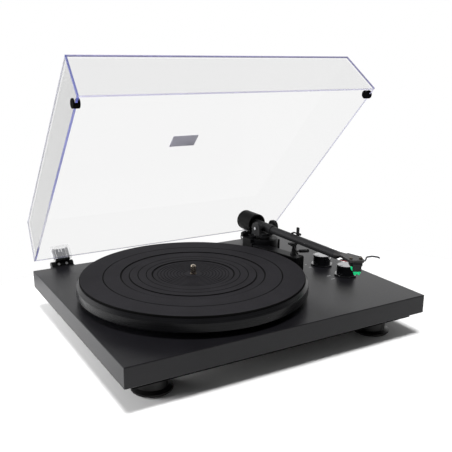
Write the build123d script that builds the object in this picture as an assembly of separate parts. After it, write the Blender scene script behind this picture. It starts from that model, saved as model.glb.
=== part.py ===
from build123d import *
import math
import os

os.makedirs("parts", exist_ok=True)

# All sizes are in millimetres and degrees.
# The deck frame has its origin on the plinth's top face, at its centre:
# X to the right along the front, Y to the back, Z up. place() moves it to the part's frame.

# Fits and gaps
RUN = 0.05           # radial clearance of a shaft in its bearing
GAP = 0.3            # gap between pieces that move past each other
PILOT = 0.1          # radial clearance of a screw in its hole

# Plinth and bottom cover
PLINTH_W = 420.0
PLINTH_D = 344.0
PLINTH_T = 24.4
PLINTH_EDGE = 1.0    # rounding of the plinth's edges
TOP_SKIN = 8.0       # board left over the hollow underneath
SIDE_WALL = 24.0     # board left round the hollow
COVER_INSET = 10.0   # how far the cover is set back from the plinth's faces
COVER_T = 7.0
COVER_WALL = 2.5
COVER_BOSS_R = 6.0

# Feet
FOOT_IN_X = 49.3     # from the plinth's side to the foot's axis
FOOT_IN_Y = 44.0
FOOT_H = 24.8
FOOT_NECK_R = 18.6
FOOT_FLARE_R = 23.8
FOOT_FLARE_H = 5.3
PAD_R = 19.5
PAD_T = 2.0
PAD_SUNK = 1.0
FOOT_SCREW_R = 2.5
FOOT_SCREW_HEAD_R = 5.0
FOOT_SCREW_LEN = 30.0
FOOT_BLOCK = 18.0    # half width of the solid board round a foot screw

# Small pan-head screws, all of one size
SCREW_R = 1.5
SCREW_L = 7.0
SCREW_HEAD_R = 2.8
SCREW_HEAD_H = 1.6

# Platter, mat and spindle
SPINDLE_IN_X = 160.9                   # from the plinth's left side
SPINDLE_IN_Y = 157.4                   # from the plinth's front
PLATTER_R = 150.0
PLATTER_Z = 7.6      # underside of the rim above the deck
PLATTER_RIM_H = 11.4
PLATTER_CHAMFER_H = 4.4
PLATTER_TOP_R = 146.4
PLATTER_TOP_T = 4.0
PLATTER_RIM_T = 7.0
DRIVE_RING_R = 66.0
DRIVE_RING_T = 5.0
HUB_BOSS_R = 15.0
HUB_R = 6.0
MAT_R = 145.9
MAT_T = 2.7
MAT_HOLE_R = 4.2
MAT_CHANNEL = (82.0, 94.5, 0.7)        # inner radius, outer radius, depth
MAT_LINES = (61.1, 71.8, 116.2)        # radii of the thin grooves
MAT_LINE_W = 1.0
MAT_LINE_DEPTH = 0.5
MAT_LABEL_R = 54.3
MAT_LABEL_DEPTH = 0.7
MAT_FINE_FIRST = 13.0
MAT_FINE_PITCH = 4.2
MAT_FINE_COUNT = 9
SPINDLE_PIN_R = 3.6
SPINDLE_PIN_H = 11.5                   # above the mat
SPINDLE_SHAFT_R = 4.0
SPINDLE_FLANGE_R = 9.0
SPINDLE_FLANGE_T = 1.5

# Main bearing
HOUSING_R = 11.0
HOUSING_FLANGE_R = 21.0
HOUSING_FLANGE_T = 3.0
HOUSING_DEPTH = 26.0
BUSH_R = 7.0
BALL_R = 2.5
BEARING_SCREWS = 3

# Motor, pulley and belt
MOTOR_ANGLE = 140.0  # direction from the spindle
MOTOR_REACH = 112.0
MOTOR_R = 16.0
MOTOR_H = 16.0
MOTOR_BOSS_R = 5.0
MOTOR_PLATE = (60.0, 40.0, 1.5)
MOTOR_SHAFT_R = 1.2
PULLEY_R = 7.2
PULLEY_FLANGE_R = 9.2
PULLEY_H = 8.4
BELT_H = 4.0
BELT_T = 0.7

# Knobs and rotary switches
KNOB_IN_X = 38.0     # from the plinth's right side
POWER_KNOB_IN_Y = 113.0                # from the plinth's front
SPEED_KNOB_IN_Y = 167.0
KNOB_R = 12.8
KNOB_H = 13.0
KNOB_PLATE_R = 16.6
KNOB_PLATE_T = 2.2
KNOB_SHAFT_R = 3.0
SWITCH_BUSH_R = 4.6
SWITCH_W = 20.0
SWITCH_H = 11.0
KNOB_TRAVEL = 32.0
KNOB_MARK = (0.45, 0.87)                # where the pointer starts and ends, as parts of the radius

# Sockets at the back
PANEL_X = 60.0
PANEL_W = 104.0
PANEL_H = 19.0
PANEL_T = 2.0
PANEL_Z = -12.2      # middle of the panel
WINDOW_W = 88.0
WINDOW_H = 13.0
RCA_R = 4.15
RCA_BORE_R = 1.9
RCA_LEN = 8.0
RCA_RING_R = 5.6
RCA_RING_T = 1.5
RCA_BODY = (6.0, 12.0, 5.5)            # behind the panel: half width, depth, half height
RCA_XS = (4.0, 20.0)
DC_X = -36.0
DC_R = 4.4
DC_BORE_R = 2.85
DC_PIN_R = 1.0
DC_DEPTH = 9.0
SLIDER_X = -17.0
SLIDER_W = 4.0
SLIDER_TRAVEL = 4.0
GROUND_X = 36.0
GROUND_R = 1.6
GROUND_NUT_R = 4.2
GROUND_NUT_T = 4.0
BOARD_T = 1.6
BOARD_D = 52.0
BOARD_Z = -21.5
BOARD_POST_R = 3.0
# From the board's front left corner: X and Y of a part's corner, its width, depth and height
BOARD_CHIPS = [(14, 16, 12, 7, 2), (40, 16, 10, 6, 2), (66, 42, 8, 8, 7), (16, 6, 4, 2, 1), (29, 6, 4, 2, 1),
               (42, 6, 4, 2, 1), (55, 6, 4, 2, 1)]
BOARD_CANS = 4
BOARD_CAN_R = 3.0
BOARD_CAN_H = 8.0
BOARD_CAN_X = 18.0
BOARD_CAN_Y = 34.0
BOARD_CAN_STEP = 13.0

# Dust cover, closed, and how far it stands open
LID_W = 414.4
LID_D = 338.5
LID_H = 67.0
LID_WALL = 3.0
LID_IN_SIDE = 5.5    # how far the top plate lies inside the rim
LID_IN_FRONT = 6.4
LID_IN_REAR = 1.4
LID_REAR_IN = 5.0    # from the plinth's back
LID_RIM_Z = 2.5
LID_OPEN = 46.9
BUMPER_Y = 15.5      # from the cover's front to the bumper's middle
BUMPER_R = 5.6
BUMPER_OUT = 1.8
BUMPER_IN = 3.2
BUMPER_BRIDGE = 2.0
LABEL_W = 40.0
LABEL_D = 23.0
LABEL_T = 0.4
LABEL_AT = (1.0, -1.0)

# Dust cover hinges
HINGE_X = 165.0
HINGE_BASE_W = 32.0
HINGE_BASE_T = 3.6
HINGE_BASE_H = 22.0
HINGE_EAR_T = 5.4
PIVOT_BACK = 10.7    # the hinge pin's axis behind the plinth
PIVOT_UP = -1.1      # the hinge pin's height over the deck
KNUCKLE_R = 6.0
HINGE_PIN_R = 1.5
BRIDGE_L = 14.1      # the leaf's flat bridge, forward of the pin
BRACKET_W = 28.0
BRACKET_T = 9.0
BRACKET_H = 21.0
BRACKET_SLOTS = (-10.6, -8.6, 8.6, 10.6)
BRACKET_SLOT_W = 1.0
TONGUE_W = 13.0
TONGUE_T = 1.5
TONGUE_H = 17.0
TONGUE_FWD = 12.1    # the tongue's front, forward of the pin
LEAF_SCREW_X = 5.7
LEAF_SCREW_R = 2.0
LEAF_SCREW_TILT = 12.0
HINGE_SCREW_X = 9.0
HINGE_SCREW_Z = -15.0

# Tonearm
ARM_FROM_SPINDLE = (170.6, 88.1)
ARM_Z = 46.0         # height of the tube's axis
ARM_YAW = 1.2        # how far the parked arm points outwards
TUBE_R = 5.7
TUBE_BORE_R = 4.9
TUBE_END = 166.0     # from the pivot to the front end of the tube
SLEEVE_R = 7.0
SLEEVE_FRONT = 21.0
SLEEVE_REAR = 18.0
TRUNNION_R = 4.2
STUB_R = 5.0
STUB_END = 54.5
WEIGHT_R = 15.3
WEIGHT_FRONT = 21.5
WEIGHT_L = 35.5
WEIGHT_RECESS_R = 12.6
WEIGHT_RECESS = 15.0
WEIGHT_EDGE = 2.2
WEIGHT_SLEEVE_R = 8.2
WEIGHT_PITCH = 2.0   # travel of one turn
WEIGHT_TURNS = 2.0

# Headshell and cartridge
SHELL_W = 15.0
SHELL_T = 3.2
SHELL_UP = 2.2       # underside of the plate above the tube's axis
SHELL_NECK = 180.0   # from the pivot to where the plate is flat
SHELL_HALF = 9.5     # half the plate's width round the cartridge
SHELL_FRONT = 8.5    # the plate's ends from the middle of the screws
SHELL_BACK = 9.0
SHELL_CORNER = 2.5
CART_X = -0.7
CART_FROM_NECK = 23.5                  # from the neck to the middle of the two cartridge screws
CART_Y = -SHELL_NECK - CART_FROM_NECK
CART_OFFSET = 31.0
CART_SCREW_GAP = 12.7
CART_SCREW_R = 1.25
CART_HEAD_R = 2.2
CART_HEAD_H = 1.4
CART_TO_TIP = 9.5
CART_H = 17.2
CART_FLANGE = (8.0, 5.2, 5.6)          # half width, half length, height
CART_BODY = (5.0, 12.0, 10.2)          # half width, rear end, height
CART_FRONT = 9.6
CART_NOSE = (5.5, 1.5, 1.4)            # half width, how far it stands out, its top below the plate
STYLUS_W = 5.6       # half width
STYLUS_FRONT = 11.6
STYLUS_BACK = 8.4                      # from the screws forward to the trough's front
STYLUS_CHEEK_END = 3.0
STYLUS_TAIL = 8.0
STYLUS_FLOOR = 2.4
STYLUS_NOTCH = ((-4.9, -11.0), (-3.2, -15.6), (-1.9, -15.6), (0.0, -13.9))
NOSE_DROP = 0.8                        # how far the nose hangs below the body
LIFT_WIRE_R = 1.05
LIFT_WIRE = ((0, 0), (1.6, 0), (3.2, 5.2), (10.1, 6.3), (17.3, 5.2), (20.0, 3.7))
LIFT_WIRE_Y = -5.0

# Yoke and arm base
YOKE_R = 12.0
YOKE_DISC_T = 3.4
YOKE_NECK_R = 8.0
YOKE_NECK_H = 2.0
YOKE_CORE = (10.5, 8.0)     # half width and half length of the block on the disc
YOKE_WEB = (36.4, 37.8)      # underside and top of the web between the prongs
YOKE_ROUND = 8.5             # rounding of a prong's top
YOKE_GAP_X = 13.6    # inner face of a prong from the arm's axis
YOKE_T = 4.0
YOKE_W = 20.0
YOKE_UP = 8.6        # prong's top above the pivot
YOKE_SHAFT_R = 4.0
PIVOT_SCREW_R = 1.5
PIVOT_HEAD_R = 2.2
BASE_X = 26.0        # half width of the base
BASE_FRONT = -3.6    # the low block's front from the yaw axis
BASE_REAR = 27.5
BASE_H = 24.0
BASE_CORNER = 7.0
TOWER_R = 20.0       # the round front
TOWER_H = 29.3
TOWER_RIGHT = -8.0   # right side of the raised block beside the tower
ARM_SCREW_RING = 17.0
BEARING_TUBE_R = 6.5
BAR_ANGLE = 12.0     # the bar runs outwards from the arm by this much
BAR_LEFT = -26.0
BAR_RIGHT = -8.0
BAR_L = 89.0
BAR_H = 22.0
YAW_IN = 50.0
PITCH_UP = 1.3
RECORD_T = 1.5
BIAS_KNOB = (-18.6, 4.0, 3.6, 3.2)     # X and Y from the yaw axis, radius, height
BIAS_POST = (-21.0, 23.3, 8.0, 7.5, 6.7)
BIAS_ROD_L = 22.0
BIAS_ROD_ANGLE = 128.0

# Cueing lift and arm rest
LIFT_X = 1.6         # from the yaw axis
LIFT_Y = -72.8
LIFT_FOOT_R = 4.8
LIFT_POST_R = 2.7
LIFT_POST_TOP = 30.4
LIFT_ROD_R = 2.0
LIFT_BAR = (8.0, 7.0, 3.0, 4.8, 3.5)  # left reach, right reach, width, thickness, lower reach
LIFT_TRAVEL = 3.5
LEVER_X = 13.5
LEVER_Y = -63.0
LEVER_Z = 17.8
LEVER_END = (2.0, -26.0, 11.5)         # the grip's end from the hub
LEVER_HUB_R = 3.4
LEVER_HUB_HALF = 2.0
LEVER_SHAFT_L = 15.0                   # from the hub's middle into the base
LEVER_BORE_PAST = 5.0                  # how far the bore runs past the hub
LEVER_KNEE = (0.0, -2.0, 5.0)
LEVER_SHAFT_R = 1.5
LEVER_ROD_R = 1.0
LEVER_GRIP_R = 2.5
LEVER_GRIP_L = 18.0
LEVER_TRAVEL = 35.0
REST_Y = -68.9
REST_FOOT_X = 7.5
REST_FOOT_R = 1.9
REST_W = 3.5
REST_FLOOR_T = 2.4
REST_LEFT = -6.0
PRONG_T = 3.0
PRONG_TOP = 60.0
CLIP_T = 1.7
CLIP_EYE_T = 0.9     # wall round the pin
CLIP_W = 3.0
CLIP_END = 125.0     # where the hook ends, from +X, as seen from the front
CLIP_PIN_R = 1.0
CLIP_UP = 4.5        # the clip's pin above the tube's axis
CLIP_TRAVEL = 80.0

# Heights and places that follow from the sizes above
DECK_Z = FOOT_H + COVER_T + PLINTH_T
SPINDLE_X = SPINDLE_IN_X - PLINTH_W / 2
SPINDLE_Y = SPINDLE_IN_Y - PLINTH_D / 2
ARM_X = SPINDLE_X + ARM_FROM_SPINDLE[0]
ARM_Y = SPINDLE_Y + ARM_FROM_SPINDLE[1]
KNOB_X = PLINTH_W / 2 - KNOB_IN_X
POWER_KNOB_Y = POWER_KNOB_IN_Y - PLINTH_D / 2
SPEED_KNOB_Y = SPEED_KNOB_IN_Y - PLINTH_D / 2
COVER_BOTTOM = -PLINTH_T - COVER_T
SKIN_Z = -TOP_SKIN
PLATTER_TOP = PLATTER_Z + PLATTER_RIM_H + PLATTER_CHAMFER_H
MAT_TOP = PLATTER_TOP + MAT_T
SPINDLE_TIP = MAT_TOP + SPINDLE_PIN_H
PLATTER_ROOF = PLATTER_TOP - PLATTER_TOP_T
HUB_Z = PLATTER_Z + 1.0
MOTOR_X = SPINDLE_X + MOTOR_REACH * math.cos(math.radians(MOTOR_ANGLE))
MOTOR_Y = SPINDLE_Y + MOTOR_REACH * math.sin(math.radians(MOTOR_ANGLE))
BELT_MID = (HUB_Z + PLATTER_ROOF) / 2
REAR_Y = PLINTH_D / 2
LID_REAR_Y = REAR_Y - LID_REAR_IN
PIVOT_Y = REAR_Y + PIVOT_BACK
BRIDGE_Y = PIVOT_Y - BRIDGE_L
TONGUE_Y = PIVOT_Y - TONGUE_FWD
LID_TOP_Z = LID_RIM_Z + LID_H
SHELL_BOTTOM = ARM_Z + SHELL_UP
SHELL_TOP = SHELL_BOTTOM + SHELL_T
TIP_Z = SHELL_BOTTOM - CART_H
TIP_REACH = math.hypot(CART_X, CART_Y) + CART_TO_TIP
PITCH_DOWN = math.degrees(math.asin((TIP_Z - MAT_TOP - RECORD_T) / TIP_REACH))
TUBE_LOW = ARM_Z - TUBE_R - abs(REST_Y) * math.sin(math.radians(PITCH_DOWN)) - GAP
PULLEY_RATIO = DRIVE_RING_R / PULLEY_R
YOKE_LOW = TOWER_H + GAP
YOKE_DISC_Z = YOKE_LOW + YOKE_NECK_H
YOKE_FLOOR = YOKE_DISC_Z + YOKE_DISC_T


def opened(y, z):
    """Where a point of the closed cover's side view goes when the cover stands open."""
    angle = math.radians(LID_OPEN)
    dy, dz = y - PIVOT_Y, z - PIVOT_UP
    return PIVOT_Y + dy * math.cos(angle) + dz * math.sin(angle)


REAR_REACH = opened(LID_REAR_Y - LID_IN_REAR, LID_TOP_Z)
CENTRE_Y = (REAR_REACH - PLINTH_D / 2) / 2
ARM = Location((ARM_X, ARM_Y, ARM_Z), (0, 0, ARM_YAW))
CART = ARM * Location((CART_X, CART_Y, SHELL_UP), (0, 0, -CART_OFFSET))
BAR = Location((ARM_X, ARM_Y, 0), (0, 0, BAR_ANGLE))


def save(name, shape):
    """Moves a shape from the deck frame to the part's frame and writes it."""
    if isinstance(shape, (list, tuple)):
        shape = Compound(children=list(shape))
    moved = Pos(0, -CENTRE_Y, DECK_Z) * shape
    export_step(moved, f"parts/{name}.step")


def box(x0, x1, y0, y1, z0, z1):
    """A block between two corners."""
    middle = Pos((x0 + x1) / 2, (y0 + y1) / 2, (z0 + z1) / 2)
    return middle * Box(abs(x1 - x0), abs(y1 - y0), abs(z1 - z0))


def rod_z(r, z0, z1, x=0.0, y=0.0):
    """An upright cylinder."""
    return Pos(x, y, (z0 + z1) / 2) * Cylinder(r, abs(z1 - z0))


def rod_x(r, x0, x1, y=0.0, z=0.0):
    """A cylinder along X."""
    return Pos((x0 + x1) / 2, y, z) * Rot(0, 90, 0) * Cylinder(r, abs(x1 - x0))


def rod_y(r, y0, y1, x=0.0, z=0.0):
    """A cylinder along Y."""
    return Pos(x, (y0 + y1) / 2, z) * Rot(90, 0, 0) * Cylinder(r, abs(y1 - y0))


def cone_z(r0, r1, z0, z1, x=0.0, y=0.0):
    """An upright cone from radius r0 at z0 to r1 at z1."""
    return Pos(x, y, (z0 + z1) / 2) * Cone(r0, r1, z1 - z0)


def turned(points):
    """A solid turned about Z from (radius, height) points."""
    outline = Plane.XZ * Polygon(*points, align=None)
    return revolve(outline, Axis.Z, 360)


def screw(place, length=SCREW_L):
    """A pan-head screw: the head stands on Z = 0 of the place, the shank goes down."""
    head = rod_z(SCREW_HEAD_R, 0, SCREW_HEAD_H)
    head = fillet(head.edges().group_by(Axis.Z)[-1], SCREW_HEAD_H * 0.4)
    cross = box(-1.5, 1.5, -0.3, 0.3, SCREW_HEAD_H - 0.6, SCREW_HEAD_H)
    cross += box(-0.3, 0.3, -1.5, 1.5, SCREW_HEAD_H - 0.6, SCREW_HEAD_H)
    return place * (head - cross + rod_z(SCREW_R, -length, 0))


def pilot(place, length=SCREW_L):
    """The hole that a pan-head screw's shank goes into."""
    return place * rod_z(SCREW_R + PILOT, -length - 1, 0)


# Places shared by a piece and what it fits
def foot_places():
    """The four foot axes."""
    fx = PLINTH_W / 2 - FOOT_IN_X
    fy = PLINTH_D / 2 - FOOT_IN_Y
    return [(sx * fx, sy * fy) for sx in (-1, 1) for sy in (-1, 1)]


def cover_screw_places():
    """Six screws up through the bottom cover into the plinth's walls."""
    edge = COVER_INSET + COVER_WALL + COVER_BOSS_R + 1.0
    y = PLINTH_D / 2 - edge
    x = PLINTH_W / 2 - edge
    spots = [(-PLINTH_W / 4, -y), (PLINTH_W / 4, -y), (-PLINTH_W / 4, y), (PLINTH_W / 4, y)]
    spots += [(-x, 0), (x, 0)]
    return [Pos(sx, sy, COVER_BOTTOM) * Rot(180, 0, 0) for sx, sy in spots]


def bearing_screw_places():
    """Screws down through the bearing flange into the plinth."""
    ring = (HOUSING_R + HOUSING_FLANGE_R) / 2
    spots = []
    for i in range(BEARING_SCREWS):
        a = math.radians(90 + 360 * i / BEARING_SCREWS)
        spots.append(Pos(SPINDLE_X + ring * math.cos(a), SPINDLE_Y + ring * math.sin(a), HOUSING_FLANGE_T))
    return spots


def motor_screw_places():
    """Screws up through the motor plate into the plinth's top board."""
    x = MOTOR_PLATE[0] / 2 - 5
    low = SKIN_Z - MOTOR_PLATE[2]
    return [Pos(MOTOR_X + s * x, MOTOR_Y, low) * Rot(180, 0, 0) for s in (-1, 1)]


def arm_screw_places():
    """Screws up through the plinth's top board into the arm base."""
    ring = ARM_SCREW_RING
    spots = []
    for a in (30, 150, 270):
        x = ARM_X + ring * math.cos(math.radians(a))
        y = ARM_Y + ring * math.sin(math.radians(a))
        spots.append(Pos(x, y, SKIN_Z) * Rot(180, 0, 0))
    return spots


def hinge_screw_places():
    """Screws through the hinge bases into the plinth's back."""
    y = REAR_Y + HINGE_BASE_T
    xs = [side * HINGE_X + s * HINGE_SCREW_X for side in (-1, 1) for s in (-1, 1)]
    return [Pos(x, y, HINGE_SCREW_Z) * Rot(-90, 0, 0) for x in xs]


def panel_screw_places():
    """Screws through the socket panel into the plinth's back."""
    x = (PANEL_W + WINDOW_W) / 4
    return [Pos(PANEL_X + s * x, REAR_Y + PANEL_T, PANEL_Z) * Rot(-90, 0, 0) for s in (-1, 1)]


def case_screws():
    """All the pan-head screws that hold pieces to the plinth."""
    places = cover_screw_places() + hinge_screw_places() + panel_screw_places()
    places += bearing_screw_places() + motor_screw_places()
    return [screw(p) for p in places] + [screw(p, TOP_SKIN + SCREW_L) for p in arm_screw_places()]


# Plinth, bottom cover and feet
def plinth():
    """The painted board with its hollow underneath and its holes."""
    board = box(-PLINTH_W / 2, PLINTH_W / 2, -PLINTH_D / 2, PLINTH_D / 2, -PLINTH_T, 0)
    board = fillet(board.edges(), PLINTH_EDGE)
    hx = PLINTH_W / 2 - SIDE_WALL
    hy = PLINTH_D / 2 - SIDE_WALL
    hollow = box(-hx, hx, -hy, hy, -PLINTH_T - 1, SKIN_Z)
    for x, y in foot_places():
        hollow -= box(x - FOOT_BLOCK, math.copysign(PLINTH_W / 2, x), y - FOOT_BLOCK, y + FOOT_BLOCK, -PLINTH_T - 1, 0)
        hollow -= box(x - FOOT_BLOCK, x + FOOT_BLOCK, y - FOOT_BLOCK, math.copysign(PLINTH_D / 2, y), -PLINTH_T - 1, 0)
        hollow -= box(x + FOOT_BLOCK, math.copysign(PLINTH_W / 2, x), y - FOOT_BLOCK, y + FOOT_BLOCK, -PLINTH_T - 1, 0)
    board -= hollow
    board -= rod_z(HOUSING_R, -PLINTH_T, 1, SPINDLE_X, SPINDLE_Y)
    board -= rod_z(MOTOR_BOSS_R + 2, -PLINTH_T, 1, MOTOR_X, MOTOR_Y)
    board -= rod_z(BEARING_TUBE_R, -PLINTH_T, 1, ARM_X, ARM_Y)
    for y in (POWER_KNOB_Y, SPEED_KNOB_Y):
        board -= rod_z(SWITCH_BUSH_R + PILOT, -PLINTH_T, 1, KNOB_X, y)
    for x, y in foot_places():
        board -= rod_z(FOOT_SCREW_R, -PLINTH_T - 1, COVER_BOTTOM - FOOT_H + PAD_SUNK + 4 + FOOT_SCREW_LEN, x, y)
    window = box(PANEL_X - WINDOW_W / 2, PANEL_X + WINDOW_W / 2, hy - 1, REAR_Y + 1,
                 PANEL_Z - WINDOW_H / 2, PANEL_Z + WINDOW_H / 2)
    board -= window
    cuts = cover_screw_places() + bearing_screw_places() + motor_screw_places()
    cuts += hinge_screw_places() + panel_screw_places()
    for spot in cuts:
        board -= pilot(spot)
    for spot in arm_screw_places():
        board -= pilot(spot, TOP_SKIN)
    return board


def bottom_cover():
    """The shallow tray that closes the plinth from below."""
    x = PLINTH_W / 2 - COVER_INSET
    y = PLINTH_D / 2 - COVER_INSET
    w = COVER_WALL
    tray = box(-x, x, -y, y, COVER_BOTTOM, -PLINTH_T)
    tray = fillet(tray.edges().filter_by(Axis.Z), 6)
    tray -= box(-x + w, x - w, -y + w, y - w, COVER_BOTTOM + w, -PLINTH_T)
    for fx, fy in foot_places():
        tray += rod_z(COVER_BOSS_R, COVER_BOTTOM + w, -PLINTH_T, fx, fy)
        tray -= rod_z(FOOT_SCREW_R + PILOT, COVER_BOTTOM - 1, 0, fx, fy)
    for spot in cover_screw_places():
        sx, sy = spot.position.X, spot.position.Y
        tray += rod_z(COVER_BOSS_R - 1, COVER_BOTTOM + w, -PLINTH_T, sx, sy)
        tray -= rod_z(SCREW_R + PILOT, COVER_BOTTOM - 1, 0, sx, sy)
    return tray


def feet():
    """Four flared feet with a screw well from below."""
    low = COVER_BOTTOM - FOOT_H + PAD_SUNK
    top = COVER_BOTTOM
    shape = [(FOOT_SCREW_R + PILOT, top), (FOOT_NECK_R - 2, top), (FOOT_NECK_R, top - 2),
             (FOOT_NECK_R, low + FOOT_FLARE_H), (FOOT_FLARE_R, low + FOOT_FLARE_H - 2.4),
             (FOOT_FLARE_R, low + 0.8), (FOOT_FLARE_R - 0.8, low), (PAD_R, low), (PAD_R, low + PAD_SUNK),
             (FOOT_SCREW_HEAD_R + 1, low + PAD_SUNK), (FOOT_SCREW_HEAD_R + 1, low + PAD_SUNK + 4),
             (FOOT_SCREW_R + PILOT, low + PAD_SUNK + 4)]
    foot = turned(shape)
    return [Pos(x, y, 0) * foot for x, y in foot_places()]


def foot_pads():
    """Rubber discs under the feet."""
    low = COVER_BOTTOM - FOOT_H
    return [rod_z(PAD_R - GAP, low, low + PAD_T, x, y) for x, y in foot_places()]


def foot_screws():
    """Long screws through foot and cover into the plinth."""
    head = COVER_BOTTOM - FOOT_H + 2 * PAD_SUNK + 4
    screws = []
    for x, y in foot_places():
        one = rod_z(FOOT_SCREW_R, head, head + FOOT_SCREW_LEN - 3, x, y)
        screws.append(one + rod_z(FOOT_SCREW_HEAD_R, head - 2.2, head, x, y))
    return screws


# Platter, mat, spindle and main bearing
def platter():
    """The cast platter: rim, top, drive ring and centre boss."""
    top, roof, low = PLATTER_TOP, PLATTER_ROOF, PLATTER_Z
    inner = PLATTER_R - PLATTER_RIM_T
    ring_in = DRIVE_RING_R - DRIVE_RING_T
    shape = [(HUB_R, top), (PLATTER_TOP_R, top), (PLATTER_R, top - PLATTER_CHAMFER_H), (PLATTER_R, low + 0.8),
             (PLATTER_R - 0.8, low), (inner, low), (inner, roof), (DRIVE_RING_R, roof), (DRIVE_RING_R, HUB_Z),
             (ring_in, HUB_Z), (ring_in, roof), (HUB_BOSS_R, roof), (HUB_BOSS_R, HUB_Z), (HUB_R, HUB_Z)]
    return Pos(SPINDLE_X, SPINDLE_Y, 0) * turned(shape)


def mat_outline():
    """The mat's section from the rim inwards, with its channel, lines and label recess."""
    top = MAT_TOP
    inner, outer, depth = MAT_CHANNEL
    steps = [(outer, outer - 0.6, inner + 0.6, inner, depth, top)]
    half = MAT_LINE_W / 2
    for r in MAT_LINES:
        steps.append((r + half, r + half * 0.4, r - half * 0.4, r - half, MAT_LINE_DEPTH, top))
    points = [(MAT_R, PLATTER_TOP), (MAT_R, top - 0.7), (MAT_R - 0.7, top)]
    for r0, r1, r2, r3, d, level in sorted(steps, reverse=True):
        points += [(r0, level), (r1, level - d), (r2, level - d), (r3, level)]
    floor = top - MAT_LABEL_DEPTH
    points += [(MAT_LABEL_R, top), (MAT_LABEL_R - 0.5, floor)]
    for i in reversed(range(MAT_FINE_COUNT)):
        r = MAT_FINE_FIRST + i * MAT_FINE_PITCH
        points += [(r + half, floor), (r + half * 0.4, floor - MAT_LINE_DEPTH),
                   (r - half * 0.4, floor - MAT_LINE_DEPTH), (r - half, floor)]
    points += [(MAT_HOLE_R, floor), (MAT_HOLE_R, PLATTER_TOP)]
    return points


def platter_mat():
    """The rubber mat."""
    return Pos(SPINDLE_X, SPINDLE_Y, 0) * turned(mat_outline())


def spindle():
    """The platter's shaft: record pin, hub and bearing journal in one piece."""
    foot = BALL_R * 2 + COVER_LIFT
    shape = [(0, foot), (SPINDLE_SHAFT_R, foot), (SPINDLE_SHAFT_R, HUB_Z - SPINDLE_FLANGE_T),
             (SPINDLE_FLANGE_R, HUB_Z - SPINDLE_FLANGE_T), (SPINDLE_FLANGE_R, HUB_Z), (HUB_R, HUB_Z),
             (HUB_R, PLATTER_TOP), (MAT_HOLE_R - GAP, PLATTER_TOP), (MAT_HOLE_R - GAP, MAT_TOP),
             (SPINDLE_PIN_R, MAT_TOP), (SPINDLE_PIN_R, SPINDLE_TIP - 2.2),
             (SPINDLE_PIN_R - 0.9, SPINDLE_TIP - 0.6), (SPINDLE_PIN_R - 2.2, SPINDLE_TIP), (0, SPINDLE_TIP)]
    return Pos(SPINDLE_X, SPINDLE_Y, 0) * turned(shape)


COVER_LIFT = -HOUSING_DEPTH + 2.0      # floor of the bearing well


def bearing_housing():
    """The flanged well that holds the bush, let into the plinth."""
    shape = [(BUSH_R, HOUSING_FLANGE_T), (HOUSING_FLANGE_R, HOUSING_FLANGE_T), (HOUSING_FLANGE_R, 0),
             (HOUSING_R, 0), (HOUSING_R, -HOUSING_DEPTH), (0, -HOUSING_DEPTH), (0, COVER_LIFT),
             (BUSH_R, COVER_LIFT)]
    housing = Pos(SPINDLE_X, SPINDLE_Y, 0) * turned(shape)
    for spot in bearing_screw_places():
        housing -= pilot(spot)
    return housing


def bearing_bush():
    """The bronze bush that the spindle turns in."""
    low = COVER_LIFT + BALL_R * 2 + 1
    high = HOUSING_FLANGE_T + 1.0
    bush = rod_z(BUSH_R, low, high, SPINDLE_X, SPINDLE_Y)
    return bush - rod_z(SPINDLE_SHAFT_R + RUN, low - 1, high + 1, SPINDLE_X, SPINDLE_Y)


def thrust_ball():
    """The steel ball that carries the spindle's end."""
    return Pos(SPINDLE_X, SPINDLE_Y, COVER_LIFT + BALL_R) * Sphere(BALL_R - 0.02)


# Motor, pulley and belt
def motor():
    """The motor's can with its boss, under the plate."""
    top = SKIN_Z - MOTOR_PLATE[2]
    can = rod_z(MOTOR_R, top - MOTOR_H, top, MOTOR_X, MOTOR_Y)
    can = fillet(can.edges().group_by(Axis.Z)[0], 1.5)
    can += rod_z(MOTOR_BOSS_R, top, top + 4, MOTOR_X, MOTOR_Y)
    return can - rod_z(MOTOR_SHAFT_R + RUN, top - 10, top + 5, MOTOR_X, MOTOR_Y)


def motor_plate():
    """The steel plate that hangs the motor from the plinth's top board."""
    w, d, t = MOTOR_PLATE
    plate = box(MOTOR_X - w / 2, MOTOR_X + w / 2, MOTOR_Y - d / 2, MOTOR_Y + d / 2, SKIN_Z - t, SKIN_Z)
    plate -= rod_z(MOTOR_BOSS_R, SKIN_Z - t - 1, SKIN_Z + 1, MOTOR_X, MOTOR_Y)
    for spot in motor_screw_places():
        plate -= pilot(spot)
    return plate


def motor_pulley():
    """The flanged pulley on the motor's shaft."""
    low, high = BELT_MID - PULLEY_H / 2, BELT_MID + PULLEY_H / 2
    groove = BELT_H / 2 + 0.5
    shape = [(MOTOR_SHAFT_R, low), (PULLEY_FLANGE_R, low), (PULLEY_FLANGE_R, low + 1),
             (PULLEY_R, BELT_MID - groove), (PULLEY_R, BELT_MID + groove), (PULLEY_FLANGE_R, high - 1),
             (PULLEY_FLANGE_R, high), (MOTOR_SHAFT_R, high)]
    return Pos(MOTOR_X, MOTOR_Y, 0) * turned(shape)


def motor_shaft():
    """The motor's shaft."""
    return rod_z(MOTOR_SHAFT_R, SKIN_Z - MOTOR_PLATE[2] - 9, BELT_MID + PULLEY_H / 2, MOTOR_X, MOTOR_Y)


def loop_face(ring, wheel):
    """The area inside a belt round two wheels, in the spindle's frame."""
    angle = math.acos((ring - wheel) / MOTOR_REACH)
    c, s = math.cos(angle), math.sin(angle)
    corners = [(ring * c, -ring * s), (MOTOR_REACH + wheel * c, -wheel * s),
               (MOTOR_REACH + wheel * c, wheel * s), (ring * c, ring * s)]
    return Circle(ring) + Pos(MOTOR_REACH, 0) * Circle(wheel) + Polygon(*corners, align=None)


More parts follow.
